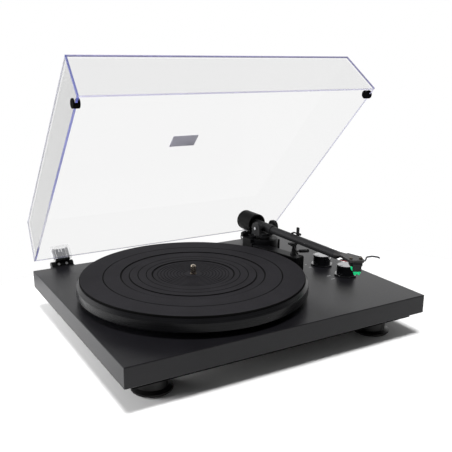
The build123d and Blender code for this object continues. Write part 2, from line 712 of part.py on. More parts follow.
def drive_belt():
    """The flat belt, just clear of the drive ring and the pulley."""
    outer = extrude(loop_face(DRIVE_RING_R + GAP + BELT_T, PULLEY_R + GAP + BELT_T), BELT_H)
    inner = extrude(loop_face(DRIVE_RING_R + GAP, PULLEY_R + GAP), BELT_H)
    spot = Location((SPINDLE_X, SPINDLE_Y, BELT_MID - BELT_H / 2), (0, 0, MOTOR_ANGLE))
    return spot * (outer - inner)


# Knobs and their switches
def knob(y):
    """A knob with its shaft."""
    low = KNOB_PLATE_T + GAP
    top = low + KNOB_H
    body = rod_z(KNOB_R, low, top, KNOB_X, y)
    body = fillet(body.edges().group_by(Axis.Z)[-1], 0.6)
    body -= rod_z(KNOB_R - 1.0, top - 0.3, top + 1, KNOB_X, y)
    inner, outer = KNOB_MARK
    mark = box(KNOB_X - outer * KNOB_R, KNOB_X - inner * KNOB_R, y - 0.5, y + 0.5, top - 0.8, top)
    return body - mark + rod_z(KNOB_SHAFT_R, SKIN_Z - 6, low, KNOB_X, y)


def knob_plates():
    """Eight-sided plates under the knobs."""
    plates = []
    for y in (POWER_KNOB_Y, SPEED_KNOB_Y):
        side = extrude(RegularPolygon(KNOB_PLATE_R, 8), KNOB_PLATE_T, taper=8)
        plate = Pos(KNOB_X, y, 0) * Rot(0, 0, 22.5) * side
        plates.append(plate - rod_z(SWITCH_BUSH_R + PILOT, -1, KNOB_PLATE_T + 1, KNOB_X, y))
    return plates


def rotary_switches():
    """The two switches under the top board, each with its threaded neck."""
    switches = []
    for y in (POWER_KNOB_Y, SPEED_KNOB_Y):
        h = SWITCH_W / 2
        body = box(KNOB_X - h, KNOB_X + h, y - h, y + h, SKIN_Z - SWITCH_H, SKIN_Z)
        body += rod_z(SWITCH_BUSH_R, SKIN_Z, KNOB_PLATE_T, KNOB_X, y)
        for i in (-1, 0, 1):
            body += box(KNOB_X - h - 3, KNOB_X - h, y + 5 * i - 0.6, y + 5 * i + 0.6, SKIN_Z - 8, SKIN_Z - 7.2)
        switches.append(body - rod_z(KNOB_SHAFT_R + RUN, SKIN_Z - 7, KNOB_PLATE_T + 1, KNOB_X, y))
    return switches


# Socket panel and circuit board
def jack_panel():
    """The plate over the window in the plinth's back."""
    w, h = PANEL_W / 2, PANEL_H / 2
    plate = box(PANEL_X - w, PANEL_X + w, REAR_Y, REAR_Y + PANEL_T, PANEL_Z - h, PANEL_Z + h)
    plate = fillet(plate.edges().filter_by(Axis.Y), 2)
    for x in RCA_XS:
        plate -= rod_y(RCA_R + PILOT, REAR_Y - 1, REAR_Y + PANEL_T + 1, PANEL_X + x, PANEL_Z)
    plate -= rod_y(DC_R + PILOT, REAR_Y - 1, REAR_Y + PANEL_T + 1, PANEL_X + DC_X, PANEL_Z)
    plate -= rod_y(GROUND_R, REAR_Y - 1, REAR_Y + PANEL_T + 1, PANEL_X + GROUND_X, PANEL_Z)
    reach = (SLIDER_W + SLIDER_TRAVEL) / 2 + GAP
    plate -= box(PANEL_X + SLIDER_X - reach, PANEL_X + SLIDER_X + reach, REAR_Y - 1, REAR_Y + PANEL_T + 1,
                 PANEL_Z - SLIDER_W / 2 - GAP, PANEL_Z + SLIDER_W / 2 + GAP)
    for spot in panel_screw_places():
        plate -= pilot(spot)
    return plate


def rca_sockets():
    """Two phono sockets: ring, barrel and the block behind."""
    face = REAR_Y + PANEL_T
    body_w, body_l, body_h = RCA_BODY
    sockets = []
    for x in RCA_XS:
        cx = PANEL_X + x
        one = rod_y(RCA_R, REAR_Y, face + RCA_LEN, cx, PANEL_Z)
        one += rod_y(RCA_RING_R, face, face + RCA_RING_T, cx, PANEL_Z)
        one += box(cx - body_w, cx + body_w, REAR_Y - body_l, REAR_Y, PANEL_Z - body_h, PANEL_Z + body_h)
        sockets.append(one - rod_y(RCA_BORE_R, face, face + RCA_LEN + 1, cx, PANEL_Z))
    return sockets


def dc_socket():
    """The low-voltage inlet with its centre pin."""
    cx = PANEL_X + DC_X
    face = REAR_Y + PANEL_T
    body = box(cx - 5.5, cx + 5.5, REAR_Y - 12, REAR_Y, PANEL_Z - 5.5, PANEL_Z + 5.5)
    body += rod_y(DC_R, REAR_Y, face + 0.6, cx, PANEL_Z)
    body -= rod_y(DC_BORE_R, face - DC_DEPTH, face + 1, cx, PANEL_Z)
    return body + rod_y(DC_PIN_R, face - DC_DEPTH, face - 0.8, cx, PANEL_Z)


def ground_post():
    """The earth terminal's stud."""
    cx = PANEL_X + GROUND_X
    stud = rod_y(GROUND_R, REAR_Y - 6, REAR_Y + PANEL_T + 8, cx, PANEL_Z)
    return stud + rod_y(GROUND_R * 2, REAR_Y - 4, REAR_Y, cx, PANEL_Z)


def ground_nut():
    """The knurled thumb nut on the earth stud."""
    cx = PANEL_X + GROUND_X
    face = REAR_Y + PANEL_T + GAP
    nut = rod_y(GROUND_NUT_R, face, face + GROUND_NUT_T, cx, PANEL_Z)
    for i in range(16):
        a = math.radians(22.5 * i)
        x = cx + GROUND_NUT_R * math.cos(a)
        z = PANEL_Z + GROUND_NUT_R * math.sin(a)
        nut -= rod_y(0.4, face - 1, face + GROUND_NUT_T + 1, x, z)
    return nut - rod_y(GROUND_R + RUN, face - 1, face + GROUND_NUT_T + 1, cx, PANEL_Z)


def output_switch():
    """The slide switch's cap and stem."""
    cx = PANEL_X + SLIDER_X
    h = SLIDER_W / 2
    face = REAR_Y + PANEL_T
    cap = box(cx - h, cx + h, REAR_Y - 2, face + 1.8, PANEL_Z - h, PANEL_Z + h)
    return cap


def slider_body(cx):
    """The slide switch's fixed body on the board."""
    w = SLIDER_W + SLIDER_TRAVEL
    low = REAR_Y - 2 - GAP
    return box(cx - w, cx + w, low - 7, low, PANEL_Z - 5, PANEL_Z + 5)


def circuit_board():
    """The board with the parts soldered on it and the pillars that hold it, as separate solids."""
    x0, x1 = PANEL_X - WINDOW_W / 2, PANEL_X + WINDOW_W / 2
    y1 = REAR_Y - SIDE_WALL - 1
    y0 = y1 - BOARD_D
    top = BOARD_Z + BOARD_T
    board = box(x0, x1, y0, y1, BOARD_Z, top)
    pieces = [board, slider_body(PANEL_X + SLIDER_X)]
    for x, y, w, d, h in BOARD_CHIPS:
        pieces.append(box(x0 + x, x0 + x + w, y0 + y, y0 + y + d, top, top + h))
    for i in range(BOARD_CANS):
        x = x0 + BOARD_CAN_X + BOARD_CAN_STEP * i
        pieces.append(rod_z(BOARD_CAN_R, top, top + BOARD_CAN_H, x, y0 + BOARD_CAN_Y))
    edge = BOARD_POST_R + 2
    spots = [(x, y) for x in (x0 + edge, x1 - edge) for y in (y0 + edge, y1 - edge)]
    return pieces + [rod_z(BOARD_POST_R, top, SKIN_Z, x, y) for x, y in spots]


# Dust cover
def cover_block(shrink):
    """The cover's outer form, or with a shrink its inside."""
    def level(z, inset_side, inset_front, inset_rear):
        w = LID_W - 2 * inset_side - 2 * shrink
        front = LID_REAR_Y - LID_D + inset_front + shrink
        rear = LID_REAR_Y - inset_rear - shrink
        return Pos(0, (front + rear) / 2, z) * Rectangle(w, rear - front)
    rim = level(LID_RIM_Z, 0, 0, 0)
    top = level(LID_TOP_Z, LID_IN_SIDE, LID_IN_FRONT, LID_IN_REAR)
    return loft([rim, top], ruled=True)


def open_up(shape):
    """Turns a piece of the closed cover to the angle at which it stands."""
    return shape.rotate(Axis((0, PIVOT_Y, PIVOT_UP), (1, 0, 0)), -LID_OPEN)


def dust_cover():
    """The clear cover: a tapered box without a bottom."""
    outer = cover_block(0)
    outer = fillet(outer.edges().group_by(Axis.Z)[-1], 1.0)
    cavity = cover_block(LID_WALL)
    cavity &= box(-LID_W, LID_W, -LID_D, LID_D, LID_RIM_Z - 1, LID_TOP_Z - LID_WALL)
    return open_up(outer - cavity)


def lid_bumpers():
    """Rubber clips on the side rims near the front."""
    y = LID_REAR_Y - LID_D + BUMPER_Y
    out = LID_W / 2
    clips = []
    for side in (-1, 1):
        x0, x1 = side * (out - LID_WALL - BUMPER_IN), side * (out + BUMPER_OUT)
        clip = rod_x(BUMPER_R, x0, x1, y, GAP + BUMPER_R)
        clip -= box(x0 + side * BUMPER_IN, side * out, y - BUMPER_R, y + BUMPER_R,
                    GAP + BUMPER_BRIDGE, GAP + 2 * BUMPER_R)
        clips.append(open_up(clip - cover_wall_slice(side)))
    return clips


def cover_wall_slice(side):
    """The cover's side wall, to cut a clip's slot."""
    wall = cover_block(0) - cover_block(LID_WALL)
    half = box(0, side * LID_W, -LID_D, LID_D, -1, LID_TOP_Z)
    return wall & half


def lid_label():
    """A blank plate on the cover's top."""
    x, y = LABEL_AT
    plate = box(x - LABEL_W / 2, x + LABEL_W / 2, y - LABEL_D / 2, y + LABEL_D / 2, LID_TOP_Z, LID_TOP_Z + LABEL_T)
    return open_up(fillet(plate.edges().filter_by(Axis.Z), 1.0))


# Dust cover hinges
def at_hinges(shape):
    """A copy of a piece at each hinge."""
    return [Pos(side * HINGE_X, 0, 0) * shape for side in (-1, 1)]


def hinge_base():
    """The fixed half: a plate on the plinth's back with two ears."""
    w = HINGE_BASE_W / 2
    plate_y = REAR_Y + HINGE_BASE_T
    base = box(-w, w, REAR_Y, plate_y, -HINGE_BASE_H, 0)
    for side in (-1, 1):
        x0, x1 = side * (w - HINGE_EAR_T), side * w
        ear = rod_x(KNUCKLE_R, x0, x1, PIVOT_Y, PIVOT_UP)
        ear += box(x0, x1, plate_y, PIVOT_Y, PIVOT_UP - KNUCKLE_R, PIVOT_UP)
        ear -= rod_x(HINGE_PIN_R, x0 - 1, x1 + 1, PIVOT_Y, PIVOT_UP)
        base += ear
    for s in (-1, 1):
        base -= pilot(Pos(s * HINGE_SCREW_X, plate_y, HINGE_SCREW_Z) * Rot(-90, 0, 0))
    return base - rod_x(HINGE_PIN_R, -w - 1, w + 1, PIVOT_Y, PIVOT_UP)


def leaf_screw_place(x):
    """Where a leaf screw's head stands on the knuckle's front."""
    a = math.radians(LEAF_SCREW_TILT)
    reach = KNUCKLE_R - 0.4
    return Pos(x, PIVOT_Y - reach * math.cos(a), PIVOT_UP - reach * math.sin(a)) * Rot(90 + LEAF_SCREW_TILT, 0, 0)


def hinge_leaf():
    """The moving half: a knuckle with a flat bridge under the cover's bracket."""
    w = HINGE_BASE_W / 2 - HINGE_EAR_T - GAP
    leaf = rod_x(KNUCKLE_R, -w, w, PIVOT_Y, PIVOT_UP)
    leaf += box(-w, w, PIVOT_Y - KNUCKLE_R, PIVOT_Y, PIVOT_UP, LID_RIM_Z)
    leaf += box(-w, w, BRIDGE_Y, PIVOT_Y, GAP, LID_RIM_Z)
    leaf -= rod_x(HINGE_PIN_R + RUN, -w - 1, w + 1, PIVOT_Y, PIVOT_UP)
    for s in (-1, 1):
        leaf -= leaf_screw_place(s * LEAF_SCREW_X) * rod_z(LEAF_SCREW_R, 0, 3)
        leaf -= leaf_screw_place(s * LEAF_SCREW_X) * rod_z(LEAF_SCREW_R * 0.5, -2.5, 0)
    return open_up(leaf)


def leaf_screw(x):
    """A small silver screw in the leaf's front."""
    head = rod_z(LEAF_SCREW_R, 0, 1.0) - box(-LEAF_SCREW_R, LEAF_SCREW_R, -0.25, 0.25, 0.6, 1.2)
    return open_up(leaf_screw_place(x) * (head + rod_z(LEAF_SCREW_R * 0.5, -2.5, 0)))


def hinge_tongue():
    """The metal tongue that stands on the leaf inside the bracket."""
    h = TONGUE_W / 2
    tongue = box(-h, h, TONGUE_Y, TONGUE_Y + TONGUE_T, LID_RIM_Z, LID_RIM_Z + TONGUE_H)
    tongue -= box(-2.6, -1.0, TONGUE_Y - 1, TONGUE_Y + 3, LID_RIM_Z + TONGUE_H * 0.7, LID_RIM_Z + TONGUE_H + 1)
    tongue -= box(1.0, 2.6, TONGUE_Y - 1, TONGUE_Y + 3, LID_RIM_Z + TONGUE_H * 0.7, LID_RIM_Z + TONGUE_H + 1)
    return open_up(tongue)


def lid_bracket():
    """The clear bracket on the cover's back, with a pocket for the tongue."""
    w = BRACKET_W / 2
    top = LID_RIM_Z + BRACKET_H
    body = box(-w, w, LID_REAR_Y, LID_REAR_Y + BRACKET_T, LID_RIM_Z, top)
    body = fillet(body.edges().filter_by(Axis.Y).group_by(Axis.Z)[-1], 2)
    h = TONGUE_W / 2 + GAP
    body -= box(-h, h, TONGUE_Y - GAP, TONGUE_Y + TONGUE_T + GAP, LID_RIM_Z - 1, LID_RIM_Z + TONGUE_H + GAP)
    for x in BRACKET_SLOTS:
        half = BRACKET_SLOT_W / 2
        body -= box(x - half, x + half, LID_REAR_Y + 2, LID_REAR_Y + BRACKET_T + 1, LID_RIM_Z + 2, top - 3)
    return open_up(body)


def hinge_pin():
    """The steel pin through ears and knuckle."""
    w = HINGE_BASE_W / 2
    return rod_x(HINGE_PIN_R, -w - 0.6, w + 0.6, PIVOT_Y, PIVOT_UP)


# Tonearm base and what stands on it
def arm_base():
    """The raised base: round in front, square behind, with the bar that carries lift and rest."""
    depth = BASE_REAR - BASE_FRONT
    low_plan = Pos(0, BASE_REAR - depth / 2) * Rectangle(2 * BASE_X, depth)
    raised_w = BASE_X + TOWER_RIGHT
    raised_plan = Pos(TOWER_RIGHT - raised_w / 2, BASE_REAR / 2) * Rectangle(raised_w, BASE_REAR)
    low = extrude(low_plan, BASE_H)
    corners = low.edges().filter_by(Axis.Z).group_by(Axis.Y)[-1]
    low = fillet(corners, BASE_CORNER)
    low = fillet(low.edges().group_by(Axis.Z)[-1], 1.2)
    high = extrude(Circle(TOWER_R) + raised_plan, TOWER_H)
    corner = high.edges().filter_by(Axis.Z).group_by(Axis.Y)[-1].sort_by(Axis.X)[0]
    high = fillet(corner, BASE_CORNER)
    high = chamfer(high.edges().group_by(Axis.Z)[-1], 0.8)
    block = Pos(ARM_X, ARM_Y, 0) * (low + high)
    bar = box(BAR_LEFT, BAR_RIGHT, -BAR_L, 0, 0, BAR_H)
    bar = fillet(bar.edges().filter_by(Axis.Z).group_by(Axis.Y)[0], 4)
    bar = fillet(bar.edges().group_by(Axis.Z)[-1].group_by(Axis.Y)[0], 1.0)
    base = block + BAR * bar
    base -= rod_z(BEARING_TUBE_R, -1, TOWER_H + 1, ARM_X, ARM_Y)
    base -= rod_z(LIFT_ROD_R + 0.4, BAR_H - 12, BAR_H + 1, ARM_X + LIFT_X, ARM_Y + LIFT_Y)
    shaft_y, shaft_x = ARM_Y + LEVER_Y, ARM_X + LEVER_X
    base -= rod_x(LEVER_SHAFT_R + RUN, shaft_x - LEVER_SHAFT_L - 1, shaft_x + LEVER_BORE_PAST, shaft_y, LEVER_Z)
    base -= rod_z(1.2, TOWER_H - 6, TOWER_H + 1, ARM_X + BIAS_KNOB[0], ARM_Y + BIAS_KNOB[1])
    for spot in arm_screw_places():
        base -= pilot(spot, TOP_SKIN + SCREW_L)
    return base


def yaw_bearing():
    """The tube in the base that the yoke's spindle turns in."""
    tube = rod_z(BEARING_TUBE_R, SKIN_Z, TOWER_H, ARM_X, ARM_Y)
    return tube - rod_z(YOKE_SHAFT_R + RUN, SKIN_Z - 1, TOWER_H + 1, ARM_X, ARM_Y)


def bias_post():
    """The side-force block at the base's back left corner, with its round end."""
    x, y, w, d, h = BIAS_POST
    cx, cy = ARM_X + x, ARM_Y + y
    post = box(cx - w / 2, cx + w / 2, cy - d / 2, cy + d / 2, TOWER_H, TOWER_H + h)
    post = fillet(post.edges().filter_by(Axis.Y).group_by(Axis.Z)[-1], 2.5)
    return post + rod_x(h / 2, cx - w / 2 - 2, cx - w / 2, cy, TOWER_H + h / 2)


def bias_knob():
    """The side-force knob."""
    x, y, r, h = BIAS_KNOB
    cx, cy = ARM_X + x, ARM_Y + y
    low = TOWER_H + GAP
    body = rod_z(r, low, low + h, cx, cy)
    body = fillet(body.edges().group_by(Axis.Z)[-1], 0.5)
    for i in range(12):
        a = math.radians(30 * i)
        body -= rod_z(0.45, low - 1, low + h + 1, cx + r * math.cos(a), cy + r * math.sin(a))
    return body + rod_z(1.15, TOWER_H - 5, low, cx, cy)


def lift_housing():
    """The lift's conical foot and guide on the bar."""
    x, y = ARM_X + LIFT_X, ARM_Y + LIFT_Y
    body = cone_z(LIFT_FOOT_R, LIFT_POST_R, BAR_H, BAR_H + 5, x, y)
    body += rod_z(LIFT_POST_R, BAR_H + 5, LIFT_POST_TOP, x, y)
    return body - rod_z(LIFT_ROD_R + RUN, BAR_H - 1, LIFT_POST_TOP + 1, x, y)


def lift_piston():
    """The lift's rod and the bar under the arm."""
    x, y = ARM_X + LIFT_X, ARM_Y + LIFT_Y
    left, right, w, t, foot = LIFT_BAR
    outline = Polygon((-left, 0), (-left, -1), (-foot, -t), (foot, -t), (right, -1), (right, 0), align=None)
    plane = Plane(origin=(x, y + w / 2, TUBE_LOW), x_dir=(1, 0, 0), z_dir=(0, -1, 0))
    bar = plane * extrude(outline, w)
    return bar + rod_z(LIFT_ROD_R, BAR_H - 6, TUBE_LOW - t, x, y)


def cue_lever():
    """The lever that works the lift: shaft, hub, cranked rod and grip."""
    x, y = ARM_X + LEVER_X, ARM_Y + LEVER_Y
    hub = rod_x(LEVER_HUB_R, x - LEVER_HUB_HALF, x + LEVER_HUB_HALF, y, LEVER_Z)
    hub += rod_x(LEVER_SHAFT_R, x - LEVER_SHAFT_L, x - LEVER_HUB_HALF, y, LEVER_Z)
    knee = Vector(x, y, LEVER_Z) + Vector(*LEVER_KNEE)
    end = Vector(x, y, LEVER_Z) + Vector(*LEVER_END)
    along = (end - knee).normalized()
    grip = end - along * LEVER_GRIP_L
    hub += bar_between(Vector(x, y, LEVER_Z), knee, LEVER_ROD_R)
    hub += Pos(knee) * Sphere(LEVER_ROD_R)
    hub += bar_between(knee, grip + along * 0.5, LEVER_ROD_R)
    return hub + bar_between(grip, end, LEVER_GRIP_R)


def bar_between(a, b, r):
    """A round bar between two points."""
    span = b - a
    plane = Plane(origin=a, z_dir=span)
    return plane * Pos(0, 0, span.length / 2) * Cylinder(r, span.length)


def arm_rest():
    """The rest: foot, floor under the tube and the upright with the clip's pin."""
    y = ARM_Y + REST_Y
    axis_x = tube_x(REST_Y)
    x_in = axis_x + TUBE_R + 2 * GAP + 2
    low = TUBE_LOW - GAP
    rest = rod_z(REST_FOOT_R, BAR_H, low, ARM_X + REST_FOOT_X, y)
    rest += box(axis_x + REST_LEFT, x_in + PRONG_T, y - REST_W / 2, y + REST_W / 2, low - REST_FLOOR_T, low)
    prong = box(x_in, x_in + PRONG_T, y - REST_W / 2, y + REST_W / 2, low - REST_FLOOR_T, PRONG_TOP)
    rest += fillet(prong.edges().filter_by(Axis.Y).group_by(Axis.Z)[-1], 1.0)
    front = y - REST_W / 2
    px, pz = x_in + PRONG_T / 2, ARM_Z + CLIP_UP
    rest += rod_y(CLIP_PIN_R, front - CLIP_W - 2 * GAP, front, px, pz)
    return rest + rod_y(CLIP_PIN_R * 1.8, front - CLIP_W - 2 * GAP - 0.8, front - CLIP_W - 2 * GAP, px, pz)


def tube_x(y):
    """The parked tube's X at a distance in front of the yaw axis."""
    return ARM_X - y * math.tan(math.radians(ARM_YAW))


def clip_pin():
    """The X and Z of the clip's pin."""
    return tube_x(REST_Y) + TUBE_R + 2 * GAP + 2 + PRONG_T / 2, ARM_Z + CLIP_UP


def rest_clip():
    """The hook that closes over the tube, turning on the rest's pin."""
    cx, cz = tube_x(REST_Y), ARM_Z + abs(REST_Y) * math.sin(math.radians(PITCH_UP))
    px, pz = clip_pin()
    inner = TUBE_R + GAP
    outer = inner + CLIP_T
    far = 3 * outer
    start = math.atan2(pz - cz, px - cx)
    angles = [start, (start + math.radians(CLIP_END)) / 2, math.radians(CLIP_END)]
    wedge = Polygon((0, 0), *[(far * math.cos(a), far * math.sin(a)) for a in angles], align=None)
    reach = math.hypot(px - cx, pz - cz)
    link = Rot(0, 0, math.degrees(start)) * Pos((inner + reach) / 2, 0) * Rectangle(reach - inner, CLIP_T)
    hook = (Circle(outer) - Circle(inner)) & wedge
    hook += link + Pos(px - cx, pz - cz) * Circle(CLIP_PIN_R + CLIP_EYE_T)
    hook -= Pos(px - cx, pz - cz) * Circle(CLIP_PIN_R + RUN)
    front = ARM_Y + REST_Y - REST_W / 2 - GAP
    return Plane(origin=(cx, front, cz), x_dir=(1, 0, 0), z_dir=(0, -1, 0)) * extrude(hook, CLIP_W)


# Yoke
def arm_yoke():
    """The fork that turns on the base: neck, disc, two prongs and the side-force rod."""
    low, disc, floor = YOKE_LOW - ARM_Z, YOKE_DISC_Z - ARM_Z, YOKE_FLOOR - ARM_Z
    web_low, web_top = YOKE_WEB[0] - ARM_Z, YOKE_WEB[1] - ARM_Z
    core_x, core_y = YOKE_CORE
    outer = YOKE_GAP_X + YOKE_T
    yoke = rod_z(YOKE_NECK_R, low, disc) + rod_z(YOKE_R, disc, floor)
    yoke += box(-core_x, core_x, -core_y, core_y, floor - 1, web_top)
    yoke += box(-outer, outer, -YOKE_W / 2, YOKE_W / 2, web_low, web_top)
    for side in (-1, 1):
        prong = box(side * YOKE_GAP_X, side * outer, -YOKE_W / 2, YOKE_W / 2, web_low, YOKE_UP)
        prong = fillet(prong.edges().filter_by(Axis.X).group_by(Axis.Z)[-1], YOKE_ROUND)
        yoke += prong - rod_x(PIVOT_SCREW_R, side * (YOKE_GAP_X - 1), side * (outer + 1))
    yoke += Rot(0, 0, BIAS_ROD_ANGLE) * rod_x(1.2, YOKE_R - 1, BIAS_ROD_L, 0, disc + YOKE_DISC_T / 2)
    return ARM * (yoke - rod_z(YOKE_SHAFT_R, low - 1, floor - 1))


def yoke_spindle():
    """The upright spindle that the yoke turns on."""
    return ARM * rod_z(YOKE_SHAFT_R, SKIN_Z + 2 - ARM_Z, YOKE_FLOOR - 1 - ARM_Z)


def pivot_screws():
    """The two pivot screws whose ends carry the arm."""
    outer = YOKE_GAP_X + YOKE_T
    screws = []
    for side in (-1, 1):
        one = rod_x(PIVOT_SCREW_R, side * (SLEEVE_R + 2), side * outer)
        head = rod_x(PIVOT_HEAD_R, side * outer, side * (outer + 1.4))
        head -= box(side * (outer + 0.9), side * (outer + 2), -0.35, 0.35, -PIVOT_HEAD_R, PIVOT_HEAD_R)
        screws.append(ARM * (one + head))
    return screws


# Tonearm
def arm_sleeve():
    """The sleeve at the pivot with its two trunnions."""
    sleeve = rod_y(SLEEVE_R, -SLEEVE_FRONT, SLEEVE_REAR)
    sleeve = chamfer(sleeve.edges().filter_by(GeomType.CIRCLE), 0.6)
    end = YOKE_GAP_X - GAP
    sleeve += rod_x(TRUNNION_R, -end, end)
    sleeve -= rod_y(TUBE_R, -SLEEVE_FRONT - 1, -SLEEVE_FRONT + 12)
    sleeve -= rod_y(STUB_R, SLEEVE_REAR - 10, SLEEVE_REAR + 1)
    for side in (-1, 1):
        sleeve -= rod_x(PIVOT_SCREW_R + RUN, side * (SLEEVE_R + 1.5), side * (end + 1))
    return ARM * sleeve


def arm_tube():
    """The straight tube."""
    back = -SLEEVE_FRONT + 12
    tube = rod_y(TUBE_R, -TUBE_END, back)
    return ARM * (tube - rod_y(TUBE_BORE_R, -TUBE_END - 1, back + 1))


def rear_stub():
    """The stub behind the pivot that carries the counterweight."""
    stub = rod_y(STUB_R, SLEEVE_REAR - 10, STUB_END)
    return ARM * chamfer(stub.edges().group_by(Axis.Y)[-1], 0.8)


def weight_sleeve():
    """The threaded sleeve inside the counterweight."""
    back = WEIGHT_FRONT + WEIGHT_L - 4
    front = WEIGHT_FRONT + 1.5
    sleeve = rod_y(WEIGHT_SLEEVE_R, front, back)
    return ARM * (sleeve - rod_y(STUB_R + RUN, front - 1, back + 1))


def counterweight():
    """The counterweight, hollowed in front."""
    back = WEIGHT_FRONT + WEIGHT_L
    weight = rod_y(WEIGHT_R, WEIGHT_FRONT, back)
    weight = fillet(weight.edges().group_by(Axis.Y)[-1], WEIGHT_EDGE)
    weight = fillet(weight.edges().group_by(Axis.Y)[0], 0.8)
    weight -= rod_y(WEIGHT_RECESS_R, WEIGHT_FRONT - 1, WEIGHT_FRONT + WEIGHT_RECESS)
    return ARM * (weight - rod_y(WEIGHT_SLEEVE_R + RUN, WEIGHT_FRONT, back + 1))


def cart_point(x, y):
    """A point of the cartridge's plan in the arm's frame."""
    a = math.radians(-CART_OFFSET)
    return CART_X + x * math.cos(a) - y * math.sin(a), CART_Y + x * math.sin(a) + y * math.cos(a)


def headshell():
    """The flat end of the arm: a neck that goes from round to flat, and the plate."""
    mid = SHELL_UP + SHELL_T / 2
    round_end = Plane(origin=(0, -TUBE_END, 0), x_dir=(1, 0, 0), z_dir=(0, -1, 0)) * Circle(TUBE_R)
    flat_plane = Plane(origin=(0, -SHELL_NECK, mid), x_dir=(1, 0, 0), z_dir=(0, -1, 0))
    flat_end = flat_plane * Ellipse(SHELL_W / 2, SHELL_T / 2)
    neck = loft([round_end, flat_end])
    w = SHELL_W / 2
    points = [(-w, -SHELL_NECK), cart_point(-SHELL_HALF, -SHELL_FRONT), cart_point(SHELL_HALF, -SHELL_FRONT),
              cart_point(SHELL_HALF, SHELL_BACK), (w, -SHELL_NECK)]
    plan = Polygon(*points, align=None)
    plate = Pos(0, 0, SHELL_UP) * extrude(plan, SHELL_T)
    plate = fillet(plate.edges().filter_by(Axis.Z).group_by(Axis.Y)[0], SHELL_CORNER)
    shell = neck + plate
    for s in (-1, 1):
        x, y = cart_point(s * CART_SCREW_GAP / 2, 0)
        shell -= rod_z(CART_SCREW_R, SHELL_UP - 1, SHELL_UP + SHELL_T + 1, x, y)
    return ARM * shell


def cartridge():
    """The cartridge's body: flange, body, nose and contact pins."""
    fw, fl, fh = CART_FLANGE
    bw, back, height = CART_BODY
    body = box(-fw, fw, -fl, fl, -fh, 0)
    body += box(-bw, bw, -CART_FRONT, back, -height, 0)
    nose_w, nose_out, nose_top = CART_NOSE
    nose = box(-nose_w, nose_w, -CART_FRONT - nose_out, -CART_FRONT + 0.5, -height - NOSE_DROP, -nose_top)
    body += fillet(nose.edges().filter_by(Axis.Y), 0.8)
    for x in (-3.4, 3.4):
        for z in (-3.8, -7.2):
            body += rod_y(0.6, back, back + 4, x, z)
    for s in (-1, 1):
        body -= rod_z(CART_SCREW_R, -fh - 1, 1, s * CART_SCREW_GAP / 2, 0)
    return CART * body


def stylus():
    """The coloured stylus holder: a trough round the body's lower half with a notched block in front."""
    body_w, _, height = CART_BODY
    floor = -height - STYLUS_FLOOR
    top = -CART_FLANGE[2] - GAP
    trough = box(-STYLUS_W, STYLUS_W, -STYLUS_BACK, STYLUS_CHEEK_END, floor, top)
    trough = chamfer(trough.edges().filter_by(Axis.Y).group_by(Axis.Z)[0], 1.8)
    trough -= box(-body_w, body_w, -STYLUS_BACK - 1, STYLUS_CHEEK_END + 1, -height, 0)
    tail_w = STYLUS_W - 1.8
    trough += box(-tail_w, tail_w, -STYLUS_BACK, STYLUS_TAIL, floor, -height)
    front = Polygon(*STYLUS_NOTCH, *[(-x, z) for x, z in reversed(STYLUS_NOTCH[:-1])], align=None)
    depth = STYLUS_FRONT - STYLUS_BACK + 1.8
    plane = Plane(origin=(0, depth - STYLUS_FRONT, 0), x_dir=(1, 0, 0), z_dir=(0, -1, 0))
    return CART * (trough + plane * extrude(front, depth))


def cantilever():
    """The cantilever with the stylus tip at its end."""
    root = Vector(0, 2.0, -CART_BODY[2] - STYLUS_FLOOR - 0.36)
    tip = Vector(0, -CART_TO_TIP, -CART_H + 0.7)
    rod = bar_between(root, tip, 0.35)
    return CART * (rod + cone_z(0.1, 0.45, -CART_H, -CART_H + 0.9, 0, -CART_TO_TIP))


def cartridge_screws():
    """Two screws down through the headshell into the cartridge."""
    screws = []
    for s in (-1, 1):
        x = s * CART_SCREW_GAP / 2
        one = rod_z(CART_SCREW_R, -CART_FLANGE[2], SHELL_T, x, 0)
        head = rod_z(CART_HEAD_R, SHELL_T, SHELL_T + CART_HEAD_H, x, 0)
        head -= box(x - CART_HEAD_R, x + CART_HEAD_R, -0.3, 0.3, SHELL_T + CART_HEAD_H - 0.6, SHELL_T + 3)
        screws.append(CART * (one + head))
    return screws


def finger_lift():
    """The bent wire at the headshell's side."""
    points = [(SHELL_HALF + x, LIFT_WIRE_Y, SHELL_T / 2 + z) for x, z in LIFT_WIRE]
    line = FilletPolyline(*points, radius=LIFT_WIRE_R * 1.8)
    section = Plane(origin=line @ 0, z_dir=line % 0) * Circle(LIFT_WIRE_R)
    return CART * sweep(section, path=line)


